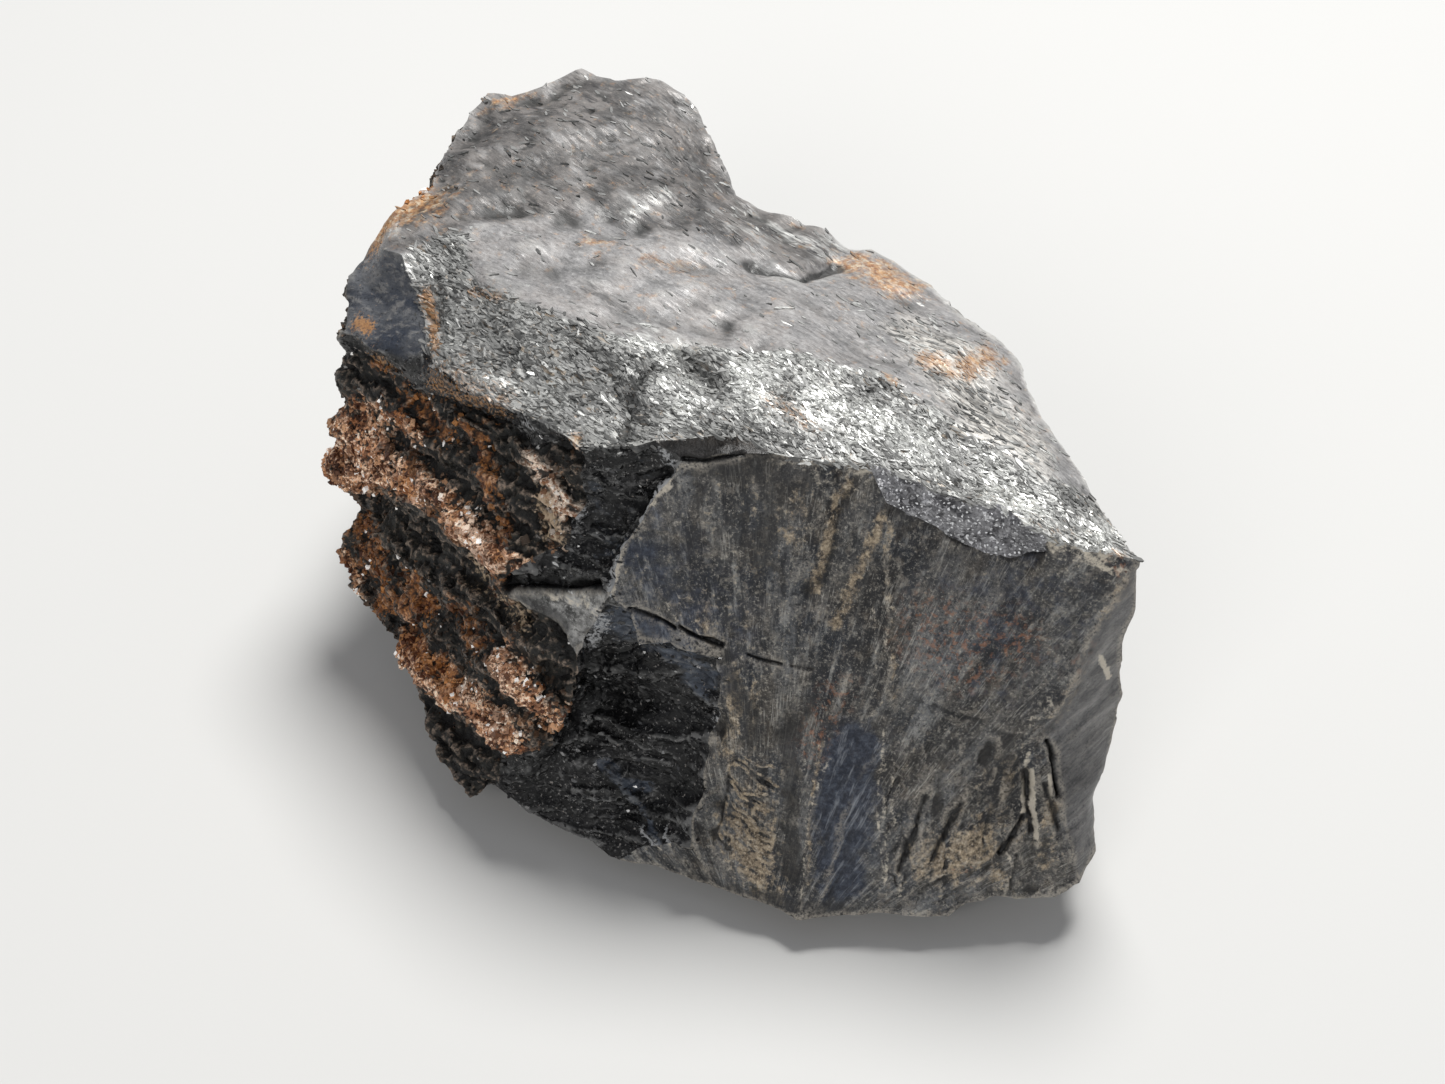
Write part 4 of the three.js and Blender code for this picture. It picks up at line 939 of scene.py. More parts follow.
def fan_hackles(points):
    """Hackles that spread from one point low on the large face, faint and fine."""
    offset = points - np.array(FAN_POINT)
    across, up = offset @ np.array(FAN_ACROSS), offset @ np.array(FAN_UP)
    fan = np.stack([np.arctan2(across, up) * FAN_RADIUS, np.hypot(across, up) * HACKLE_DRAWN, 0 * up], 1)
    return relief(fan, (0.09, noise, 1.3, 3.9), (0.05, noise, 0.6, 8.1))


def fine_ribs(points):
    phase = points @ np.array(RIBBED_ACROSS) / FINE_RIB_PITCH + 0.9 * noise(points, 1.9, 3.6)
    return FINE_RIB_HEIGHT * smooth_step(noise(points, 1.2, 7.7), -0.7, 0.2) * wave(phase)


# A form of its own or none, then noises as in relief().
FRACTURE = [(0.07, noise, 3, 7.7), (0.03, noise, 0.9, 1.6)]
MOTTLED = [(0.12, noise, 1.8, 8.2, TOP_ALONG, 0.5), (0.08, plates, 1.2, 5.9, TOP_ALONG, 0.5),
           (0.05, noise, 0.7, 3.3)]
FINE_RELIEF = {
    "satin": (None, [(0.05, noise, 0.8, 4.4, TOP_ALONG, 0.25), (0.06, noise, 2.2, 1.2)]),
    "scaly": (None, [(0.16, plates, 0.6, 3.1, TOP_ALONG, 0.25), (0.16, plates, 1.3, 6.7, TOP_ALONG, 0.35),
                     (0.1, noise, 2.2, 2.2)]),
    "mottled": (None, MOTTLED),
    "blue": (None, MOTTLED),
    "black": (black_ledges, [(0.3, plates, 2, 2.7, HOLLOW_ALONG, 0.4), (0.1, plates, 0.9, 6.1)]),
    "brown": (None, FRACTURE),
    "grey": (None, FRACTURE),
    "crust": (crust_folia, [(0.5, plates, 1.6, 4.3, CRUST_ALONG, 0.55), (0.28, plates, 0.85, 8.8)]),
    "fracture": (fan_hackles, FRACTURE),
    "striated": (fan_hackles, [(0.16, plates, 0.9, 5.1, FAN_UP, 0.3), (0.12, noise, 1.2, 2.5, FAN_UP, 0.3)]
                 + FRACTURE),
    "ribbed": (fine_ribs, [(0.12, plates, 1.1, 9.4)]),
    "chip": (None, [(0.2, plates, 0.9, 7.3), (0.1, noise, 1.4, 4.9)]),
    "side": (fan_hackles, FRACTURE),
    "hidden": (None, [(0.4, plates, 4.2, 6.4), (0.16, plates, 1.6, 3.8)]),
    "sole": (None, MOTTLED),
}


def fine_height(points, shares):
    height = np.zeros(len(points))
    for name, (form, noises) in FINE_RELIEF.items():
        share = shares[:, SKIN_NAMES.index(name)]
        part = share > 0
        rise = relief(points[part], *noises)
        height[part] += share[part] * (rise + form(points[part]) if form else rise)
    return height


# ---- the skin as one mesh -------------------------------------------------------------

FOOT_CLEAR_HEIGHT = 2.5  # lower than this, the relief fades out towards the floor
FINE_EASE_PASSES = 5
COARSE_PASSES, FINE_PASSES = 3, 2
EDGE_PASSES = 3
# The rise, in millimetres, that takes each measure from nothing to its full value.
EDGE_RISE, RAISED_RISE, FINE_RISE, CUT_DEPTH = 0.25, 3, 0.8, 0.4
CREEP_PASSES = 18
CREEP_RAGGEDNESS, CREEP_SIZE, CREEP_SHIFT = 0.45, 1.6, 5.9
CREEP_START = 8  # in front of this y the crust keeps all its triangles
SHARP_EDGE_DEGREES = 38
SKIN_MEASURES = ("edge raised fine cut skin_scaly skin_mottled skin_blue skin_striated skin_ribbed "
                 "skin_brown skin_grey skin_side").split() + ["stain_" + kind for kind in STAINS_AND_PAINTED_LIGHT]


def shape_lump():
    """The finished skin, with the measures that the looks and the loose bits read."""
    lump = build_cage()
    lump.split(of_skins("edge"))
    lump.dish(lump.carried)
    lump.ease(of_skins("ease"))
    lump.carried = np.concatenate([lump.normals(COARSE_PASSES), lump.shares(FINE_PASSES)], axis=1)
    lump.split(of_skins("fine"), shorten_near_lines)
    lump.ease(FINE_EASE_PASSES * (of_skins("ease") > 0))
    plain = lump.points
    fade = smooth_step(plain[:, 2], 0, FOOT_CLEAR_HEIGHT)[:, None]
    raised = skin_height(plain, lump.carried[:, 3:]) + stroke_height(plain)
    lump.points = plain + (unit(lump.carried[:, :3]) * raised[:, None] + wander(plain)) * fade
    normals, shares = lump.normals(FINE_PASSES), lump.shares(FINE_PASSES)
    cut, fine = fine_stroke_height(plain, normals), fine_height(plain, shares)
    lump.points = lump.points + normals * (fine + cut)[:, None] * fade
    level = lump.points
    for _ in range(EDGE_PASSES):
        level = lump.average(level)
    rise = ((lump.points - level) * normals).sum(1)
    # edge: how far a point stands out of its neighbours, which the looks use to paint highlights on convex
    # edges and shade in hollows; cut: the depth of the fine cracks, which the looks paint dark as shade.
    lump.measures = {
        "raised": np.clip(0.5 + raised / RAISED_RISE, 0, 1), "fine": np.clip(0.5 + fine / FINE_RISE, 0, 1),
        "cut": np.clip(-cut / CUT_DEPTH, 0, 1), "edge": np.clip(0.5 + rise / EDGE_RISE, 0, 1),
        **{"stain_" + kind: stain_and_painted_light_strength(plain, normals, lines) for kind, lines in STAINS_AND_PAINTED_LIGHT.items()},
        **{"skin_" + name: share for name, share in zip(SKIN_NAMES, shares.T)},
    }
    lump.looks = look_of_triangles(lump)
    return lump


def look_of_triangles(lump):
    """Index in LOOKS for each triangle; the crust creeps over the back with a ragged border."""
    looks = np.array([LOOKS.index(look) for look in of_skins("look")])[lump.skin()]
    crust = lump.measures["skin_crust"]
    for _ in range(CREEP_PASSES):
        crust = lump.average(crust)
    crusted = crust + CREEP_RAGGEDNESS * noise(lump.points, CREEP_SIZE, CREEP_SHIFT) > 0.5
    behind = lump.points[lump.triangles, 1].min(1) > CREEP_START
    border = (looks == LOOKS.index("back")) | (looks == LOOKS.index("crust")) & behind
    creeping = np.where(crusted[lump.triangles].sum(1) > 1, LOOKS.index("crust"), LOOKS.index("back"))
    return np.where(border, creeping, looks)


def add_measure(mesh, name, values):
    mesh.attributes.new(name, "FLOAT", "POINT").data.foreach_set("value", values.astype(np.float32))


def make_piece(name, points, triangles, materials):
    mesh = bpy.data.meshes.new(name)
    mesh.from_pydata((points * MM).tolist(), [], triangles.tolist())
    for material in materials:
        mesh.materials.append(material)
    piece = bpy.data.objects.new(name, mesh)
    bpy.context.scene.collection.objects.link(piece)
    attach(piece, "root")
    return piece


def make_skin(lump, materials):
    skin = make_piece("crystal_skin", lump.points, lump.triangles, materials)
    skin.data.polygons.foreach_set("material_index", lump.looks.astype(np.int32))
    skin.data.shade_smooth()
    skin.data.set_sharp_from_angle(angle=math.radians(SHARP_EDGE_DEGREES))
    for name in SKIN_MEASURES:
        add_measure(skin.data, name, lump.measures[name])
    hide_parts(NODE)


# ---- flakes, grains and chips that lie on the skin ------------------------------------

FLAKE_COUNT, FLAKE_TILT = 9000, 0.2
CHIP_COUNT, CHIP_TILT = 1600, 0.35
GRAIN_COUNT, GRAIN_SINK = 6500, 0.3
FLAKE_CORNERS = 6
FLAKE_ROOT = 0.2  # how deep the skirt of a flake goes
FLAKE_SKIRT = 0.8  # how wide its foot is, as a share of the flake
FLAKE_TURN = 0.35  # how far flakes turn off their direction, in radians
FLAKE_ROLL = 0.6  # tilt along a flake, as a share of the tilt across it
FLAKE_UNEVEN, FLAKE_REACH = 0.3, (0.7, 1.1)  # how far corners are shifted round, and out
# Grains: how far their corners are knocked, how they are stretched, and half their width.
GRAIN_UNEVEN, GRAIN_STRETCH, GRAIN_HALF = 0.45, (0.55, 1.0), 0.6
CUBE_FACES = [(0, 2, 3, 1), (4, 5, 7, 6), (0, 1, 5, 4), (2, 6, 7, 3), (0, 4, 6, 2), (1, 3, 7, 5)]


def scatter(rng, lump, weight, count):
    """Random places on the skin, more of them where the weight is high."""
    corners = lump.points[lump.triangles]
    cross = cross_of(corners)
    area = np.linalg.norm(cross, axis=1)
    chance = area * np.clip(weight, 0, None)[lump.triangles].mean(1)
    chosen = rng.choice(len(area), count, p=chance / chance.sum())
    u, v = rng.random((2, count))
    over = u + v > 1
    u[over], v[over] = 1 - u[over], 1 - v[over]
    a, b, c = corners[chosen].transpose(1, 0, 2)
    place = a + u[:, None] * (b - a) + v[:, None] * (c - a)
    read = {name: values[lump.triangles[chosen]].mean(1) for name, values in lump.measures.items()}
    return place, cross[chosen] / area[chosen][:, None], read


def turned(vectors, axes, angles):
    """Vectors turned about unit axes."""
    cos, sin = np.cos(angles)[:, None], np.sin(angles)[:, None]
    along = (vectors * axes).sum(1)[:, None]
    return vectors * cos + np.cross(axes, vectors) * sin + axes * along * (1 - cos)


def flake_points(rng, place, normal, along, length, width, lift, tilt):
    """Thin six-sided flakes, drawn out along one direction and tilted, with a skirt under them."""
    count = len(place)
    along = np.broadcast_to(np.array(along), (count, 3))
    along = turned(along, normal, rng.normal(0, FLAKE_TURN, count))
    across = unit(np.cross(normal, along))
    along = np.cross(across, normal)
    normal = turned(normal, along, rng.normal(0, tilt, count))
    normal = unit(turned(normal, across, rng.normal(0, tilt * FLAKE_ROLL, count)))
    across = unit(np.cross(normal, along))
    along = np.cross(across, normal)
    turn = np.arange(FLAKE_CORNERS) / FLAKE_CORNERS * 2 * math.pi
    turn = turn + rng.uniform(-FLAKE_UNEVEN, FLAKE_UNEVEN, (count, FLAKE_CORNERS))
    reach = rng.uniform(*FLAKE_REACH, (count, FLAKE_CORNERS))
    flat = (along[:, None] * (np.cos(turn) * reach * length[:, None])[..., None]
            + across[:, None] * (np.sin(turn) * reach * width[:, None])[..., None])
    top = place[:, None] + flat + (normal * lift[:, None])[:, None]
    bottom = place[:, None] + flat * FLAKE_SKIRT - (normal * FLAKE_ROOT)[:, None]
    return np.concatenate([top, bottom], axis=1)


def flake_triangles():
    fan = [(0, i, i + 1) for i in range(1, FLAKE_CORNERS - 1)]
    for i in range(FLAKE_CORNERS):
        j = (i + 1) % FLAKE_CORNERS
        fan += [(i, i + FLAKE_CORNERS, j), (j, i + FLAKE_CORNERS, j + FLAKE_CORNERS)]
    return fan


def grain_points(rng, place, normal, size):
    """Knocked-about little blocks, each turned its own way and half sunk."""
    count = len(place)
    corners = np.array(list(np.ndindex(2, 2, 2))) * 2.0 - 1
    corners = corners + rng.uniform(-GRAIN_UNEVEN, GRAIN_UNEVEN, (count, 8, 3))
    stretch = rng.uniform(*GRAIN_STRETCH, (count, 1, 3))
    axes = unit(rng.normal(size=(count, 3)))
    angles = rng.uniform(0, math.pi, count)
    corners = corners * stretch * (size * GRAIN_HALF)[:, None, None]
    shaped = np.stack([turned(corners[:, i], axes, angles) for i in range(8)], axis=1)
    return place[:, None] - (normal * (size * GRAIN_SINK)[:, None])[:, None] + shaped


def make_bits(name, material, points, triangles, **measures):
    """Many copies of one little mesh as one piece, with a value of each measure per copy."""
    count, corners = points.shape[:2]
    faces = np.array(triangles) + (np.arange(count) * corners)[:, None, None]
    piece = make_piece(name, points.reshape(-1, 3), faces.reshape(-1, 3), [material])
    for measure, values in measures.items():
        add_measure(piece.data, measure, np.repeat(values, corners))


# Tone: its middle, the swing of its noise, the noise's size and shift, and its own scatter.
FLAKE_TONE = (0.42, 0.35, 2.6, 4.1, 0.16)
GRAIN_TONE = (0.45, 0.45, 1.5, 9.7, 0.24)
# Sizes follow a beta distribution, so that there are many small ones and a few large ones.
FLAKE_SIZES, GRAIN_SIZES, CHIP_SIZES = (1.6, 3.5), (1.2, 6.0), (1.5, 4.5)
FLAKE_LIFT, CHIP_LIFT = (0.01, 0.08), (0.0, 0.05)


def tones(rng, place, middle, swing, size, shift, scattered):
    return middle + swing * noise(place, size, shift) + rng.normal(0, scattered, len(place))


def make_mica_flakes(rng, lump, material):
    skin = lump.measures
    weight = (skin["skin_scaly"] * (0.6 + skin["stain_pale"]) + 0.03 * skin["skin_mottled"]
              + skin["skin_satin"] * (0.008 + 0.25 * skin["stain_tan"]))
    # fewer flakes under the dark marks, which are partly painted shade
    weight = weight * (1.2 - 0.8 * skin["stain_dark"])
    place, normal, read = scatter(rng, lump, weight, FLAKE_COUNT)
    size = rng.beta(*FLAKE_SIZES, FLAKE_COUNT)
    length, width = 0.2 + 0.85 * size, 0.06 + 0.16 * rng.random(FLAKE_COUNT) * (0.4 + size)
    lift = rng.uniform(*FLAKE_LIFT, FLAKE_COUNT)
    points = flake_points(rng, place, normal, TOP_ALONG, length, width, lift, FLAKE_TILT)
    tone = tones(rng, place, *FLAKE_TONE)
    # flakes darker under the dark marks, partly as painted shade
    tone += 0.4 * read["stain_pale"] - 0.4 * read["stain_dark"] - 0.15 * read["skin_mottled"]
    make_bits("mica_flakes", material, points, flake_triangles(),
              tone=np.clip(tone, 0, 1), rust=read["stain_rust"])


def make_crust_grains(rng, lump, material):
    skin = lump.measures
    # fewer grains under the dark marks, which are partly painted shade
    shown = (1.3 * skin["stain_pink"] + 0.5 * skin["stain_rust"] + 0.5 * skin["stain_tan"] + 0.12
             + np.clip(skin["raised"] - 0.55, 0, 1) - 0.7 * skin["stain_dark"])
    patchy = np.clip(0.6 + 1.4 * noise(lump.points, 1.8, 6.1), 0.05, None)
    weight = skin["skin_crust"] * np.clip(shown, 0.03, None) * patchy
    place, normal, read = scatter(rng, lump, weight, GRAIN_COUNT)
    size = 0.13 + 0.75 * rng.beta(*GRAIN_SIZES, GRAIN_COUNT)
    points = grain_points(rng, place, normal, size)
    tone = tones(rng, place, *GRAIN_TONE)
    triangles = [t for a, b, c, d in CUBE_FACES for t in ((a, b, c), (a, c, d))]
    # the grains carry the dark marks, partly painted shade, on to their look
    stains = {kind: read["stain_" + kind] for kind in ("pink", "rust", "dark", "pale")}
    make_bits("crust_grains", material, points, triangles, tone=np.clip(tone, 0, 1), **stains)


def make_hollow_chips(rng, lump, material):
    skin = lump.measures
    weight = (skin["skin_black"] * (0.3 + skin["edge"]) + 0.5 * skin["skin_chip"]
              + 0.15 * skin["skin_crust"])
    place, normal, read = scatter(rng, lump, weight, CHIP_COUNT)
    size = rng.beta(*CHIP_SIZES, CHIP_COUNT)
    length, width = 0.14 + 0.45 * size, 0.08 + 0.16 * size
    lift = rng.uniform(*CHIP_LIFT, CHIP_COUNT)
    points = flake_points(rng, place, normal, HOLLOW_ALONG, length, width, lift, CHIP_TILT)
    make_bits("hollow_chips", material, points, flake_triangles(),
              tone=rng.random(CHIP_COUNT), crust=read["skin_crust"], steel=read["skin_chip"])


# ---- materials ------------------------------------------------------------------------


class Look:
    """A material being put together from nodes. Lengths are in millimetres."""

    def __init__(self, name):
        self.material = bpy.data.materials.new(name)
        self.material.use_nodes = True
        self.tree = self.material.node_tree
        self.place = self.node("TexCoord").outputs["Object"]

    def join(self, node, inputs):
        """Links or sets inputs, given in order or by name. A plain number as a colour is a grey."""
        for key, value in inputs.items() if isinstance(inputs, dict) else enumerate(inputs):
            socket = node.inputs[key]
            if isinstance(value, bpy.types.NodeSocket):
                self.tree.links.new(value, socket)
            else:
                socket.default_value = (*np.broadcast_to(value, 3), 1) if socket.type == "RGBA" else value

    def node(self, kind, inputs=(), **settings):
        node = self.tree.nodes.new("ShaderNode" + kind)
        for name, value in settings.items():
            setattr(node, name, value)
        self.join(node, inputs)
        return node

    def math(self, operation, *values):
        return self.node("Math", values, operation=operation).outputs[0]

    def times(self, total, *values):
        for value in values:
            total = self.math("MULTIPLY", total, value)
        return total

    def plus(self, total, *values):
        for value in values:
            total = self.math("ADD", total, value)
        return total

    def vector(self, operation, *values):
        output = "Value" if operation == "DOT_PRODUCT" else "Vector"
        return self.node("VectorMath", values, operation=operation).outputs[output]

    def __getitem__(self, name):
        """One of the measures that the mesh carries."""
        return self.node("Attribute", attribute_name=name).outputs["Fac"]

    def span(self, value, low, high, start=0.0, end=1.0):
        """Maps low..high to start..end, clamped."""
        return self.node("MapRange", (value, low, high, start, end)).outputs[0]

    def ragged(self, amount, grain, low=0.35, high=0.65, depth=1.0):
        """A soft mask broken up by a grain, so that its border is made of specks."""
        specks = self.span(grain, 0.25, 0.75, -0.5 * depth, 0.5 * depth)
        return self.span(self.plus(amount, specks), low, high)

    def mix(self, share, first, second, blend="MIX"):
        inputs = {0: share, 6: first, 7: second}
        return self.node("Mix", inputs, data_type="RGBA", blend_type=blend).outputs[2]

    def ramp(self, value, low, high, first, second):
        """From one colour at the low value to another at the high one."""
        return self.mix(self.span(value, low, high), first, second)

    def over(self, colour, *layers):
        """Lays tones over a colour, each where its mask is. Layer: mask, tone; or mask, the share
        of it that is used, tone; or value, where the mask starts and is full, its share, tone."""
        for mask, *spread, tone in layers:
            if len(spread) == 1:
                mask = self.times(mask, spread[0])
            elif spread:
                low, high, most = spread
                mask = self.span(mask, low, high, 0, most)
            colour = self.mix(mask, colour, tone)
        return colour

    def blend(self, share, first, second):
        """As mix, for numbers."""
        return self.node("Mix", {0: share, 2: first, 3: second}).outputs[0]

    def drawn(self, along, shrink):
        """Coordinates pulled together along one direction."""
        amount = self.times(self.vector("DOT_PRODUCT", self.place, along), shrink - 1)
        step = self.node("VectorMath", {0: along, "Scale": amount}, operation="SCALE").outputs[0]
        return self.vector("ADD", self.place, step)

    def fan(self, shrink):
        """Coordinates that run round and out from the fan point of the large face."""
        offset = self.vector("SUBTRACT", self.place, tuple(v * MM for v in FAN_POINT))
        across = self.vector("DOT_PRODUCT", offset, FAN_ACROSS)
        up = self.vector("DOT_PRODUCT", offset, FAN_UP)
        reach = self.math("SQRT", self.plus(self.times(across, across), self.times(up, up)))
        turn = self.times(self.math("ARCTAN2", across, up), FAN_RADIUS * MM)
        return self.node("CombineXYZ", (turn, self.times(reach, shrink))).outputs[0]

    def noise(self, size, detail=3.0, roughness=0.55, place=None, distortion=0.0):
        return self.node("TexNoise", {
            "Vector": place or self.place, "Scale": 1 / (size * MM), "Detail": detail,
            "Roughness": roughness, "Distortion": distortion,
        }).outputs["Fac"]

    def cells(self, size, place=None):
        """Cells with three random numbers each, and the height of a tilted plate on each."""
        place = place or self.place
        node = self.node("TexVoronoi", {"Vector": place, "Scale": 1 / (size * MM)})
        offset = self.vector("SUBTRACT", place, node.outputs["Position"])
        tilt = self.vector("SUBTRACT", node.outputs["Color"], (0.5, 0.5, 0.5))
        height = self.math("DIVIDE", self.vector("DOT_PRODUCT", offset, tilt), size * MM)
        return self.node("SeparateColor", [node.outputs["Color"]]).outputs, height

    def contrast(self, colour, power, gain):
        """Raises a colour to a power, then brightens it again."""
        return self.mix(1.0, self.node("Gamma", (colour, power)).outputs[0], gain, "MULTIPLY")

    def finish(self, colour, roughness, bumps, metallic=0.0, specular=0.5):
        """Bump: height, depth, strength. Each lies on the one before it."""
        below = {}
        for height, depth, strength in bumps:
            inputs = {"Strength": strength, "Distance": depth * MM, "Height": height, **below}
            below = {"Normal": self.node("Bump", inputs).outputs[0]}
        self.join(self.tree.nodes["Principled BSDF"], {
            "Base Color": colour, "Roughness": roughness, "Metallic": metallic,
            "Specular IOR Level": specular, **below})
        return self.material


RUST_DARK = (0.20, 0.07, 0.02)
RUST_PALE = (0.56, 0.32, 0.14)


def mica_look():
    """Silvery mica: smooth on the flat top, flaky towards the front edge, mottled on the far lump; painted
    shade in its hollows and under the dark marks, painted highlights on its convex edges.
    """
    look = Look("silver_mica")
    drawn = look.drawn(TOP_ALONG, 0.2)
    scaly, mottled = look["skin_scaly"], look["skin_mottled"]
    pale, edge = look["stain_pale"], look["edge"]
    random, plate = look.cells(0.32, drawn)
    small, small_plate = look.cells(0.16, drawn)
    folia = look.noise(0.42, 4, 0.62, drawn, 0.3)
    streaks = look.noise(1.3, 5, 0.64, look.drawn(TOP_ALONG, 0.45), 0.3)
    patches = look.noise(3.4, 5, 0.62)
    fine = look.noise(0.34, 4, 0.7, look.drawn(TOP_ALONG, 0.6))
    speckled = look.over(
        look.ramp(fine, 0.36, 0.54, (0.16, 0.15, 0.137), (0.66, 0.635, 0.59)),
        (small[0], 0.74, 0.80, 0.65, (0.075, 0.073, 0.068)),
        (small[1], 0.80, 0.86, 0.7, (0.80, 0.78, 0.72)))
    satin = look.over(
        look.ramp(streaks, 0.34, 0.66, (0.205, 0.203, 0.205), (0.295, 0.288, 0.288)),
        (patches, 0.44, 0.62, 0.5, (0.34, 0.315, 0.30)),
        (look.ragged(look["stain_tan"], patches, 0.2, 0.7, 0.6), 0.85, speckled),
        (fine, 0.52, 0.66, 0.7, (0.44, 0.435, 0.43)),
        (folia, 0.42, 0.32, 0.55, (0.11, 0.108, 0.11)),
        (fine, 0.45, 0.33, 0.7, 0.10))
    bright = look.plus(look.span(streaks, 0.34, 0.66, 0, 0.55), look.times(pale, 0.75))
    flaky = look.over(
        look.ramp(bright, 0, 1, (0.13, 0.13, 0.128), (0.66, 0.67, 0.645)),
        (random[0], 0.5, 1.0, 0.75, (0.60, 0.605, 0.59)),
        (folia, 0.47, 0.36, 0.95, (0.022, 0.023, 0.022)),
        (small[1], 0.80, 0.86, 0.8, (0.05, 0.052, 0.05)),
        (random[2], 0.90, 0.94, 0.6, (0.36, 0.28, 0.20)))
    spots = look.over(
        look.ramp(patches, 0.40, 0.60, (0.075, 0.072, 0.071), (0.185, 0.173, 0.166)),
        (streaks, 0.54, 0.66, 0.6, (0.30, 0.295, 0.295)),
        (fine, 0.56, 0.70, 0.6, (0.30, 0.27, 0.245)),
        (folia, 0.44, 0.34, 0.8, (0.035, 0.036, 0.04)))
    block = look.ramp(patches, 0.38, 0.62, (0.045, 0.052, 0.068), (0.13, 0.135, 0.15))
    white = look.ramp(small[2], 0.2, 0.8, (0.36, 0.365, 0.36), (0.78, 0.79, 0.76))
    rust = look.over(look.ramp(fine, 0.36, 0.64, RUST_DARK, RUST_PALE),
                     (look.noise(0.5, 4, 0.68), 0.50, 0.62, 0.9, (0.62, 0.52, 0.38)))
    whitened = look.times(look.ragged(pale, streaks, 0.45, 0.95), look.span(folia, 0.40, 0.52), 0.7)
    rusty = look.ragged(look["stain_rust"], look.noise(1.1, 5, 0.7), 0.25, 0.95, 1.5)
    # rim: painted highlight along the convex edges, weaker on the far lump
    rim = look.times(look.span(edge, 0.56, 0.85, 0, 0.4), look.span(mottled, 0, 0.6, 1, 0.15))
    colour = look.over(
        satin,
        (look.ragged(scaly, streaks, 0.2, 0.6, 0.6), flaky),
        (mottled, spots),
        (look["skin_blue"], block),
        (whitened, white),
        # dark marks: darker patches, and painted shade in the steps, notch and grooves of the top
        (look.ragged(look["stain_dark"], folia, 0.3, 0.75), 0.7, (0.035, 0.035, 0.036)),
        (rusty, 0.85, rust),
        # painted shade in the hollows of the skin, then a painted highlight on its convex edges
        (edge, 0.5, 0.25, 0.8, (0.025, 0.026, 0.025)),
        (rim, (0.62, 0.62, 0.59)))
    bumps = [(folia, 0.22, look.blend(scaly, 0.35, 0.9)), (plate, 0.12, look.blend(scaly, 0.2, 0.9)),
             (small_plate, 0.06, 0.7)]
    return look.finish(colour, look.span(random[1], 0, 1, 0.34, 0.62), bumps,
                       look.span(random[0], 0.4, 1, 0, 0.35))


def flake_look():
    """Single mica flakes, each with its own tone."""
    look = Look("mica_flake")
    tone = look["tone"]
    fine = look.noise(0.2, 3, 0.6, look.drawn(TOP_ALONG, 0.3))
    rusty = look.ragged(look["rust"], fine, 0.3, 0.8)
    colour = look.over(
        look.ramp(tone, 0, 0.6, (0.04, 0.041, 0.04), (0.36, 0.362, 0.352)),
        (tone, 0.55, 1.0, 1, (0.82, 0.83, 0.80)),
        (fine, 0.5, 0.36, 0.7, (0.10, 0.10, 0.098)),
        (rusty, 0.75, look.mix(fine, RUST_DARK, RUST_PALE)))
    return look.finish(colour, look.span(tone, 0, 1, 0.55, 0.3), [(fine, 0.05, 0.7)],
                       look.span(tone, 0.4, 1, 0, 0.4))


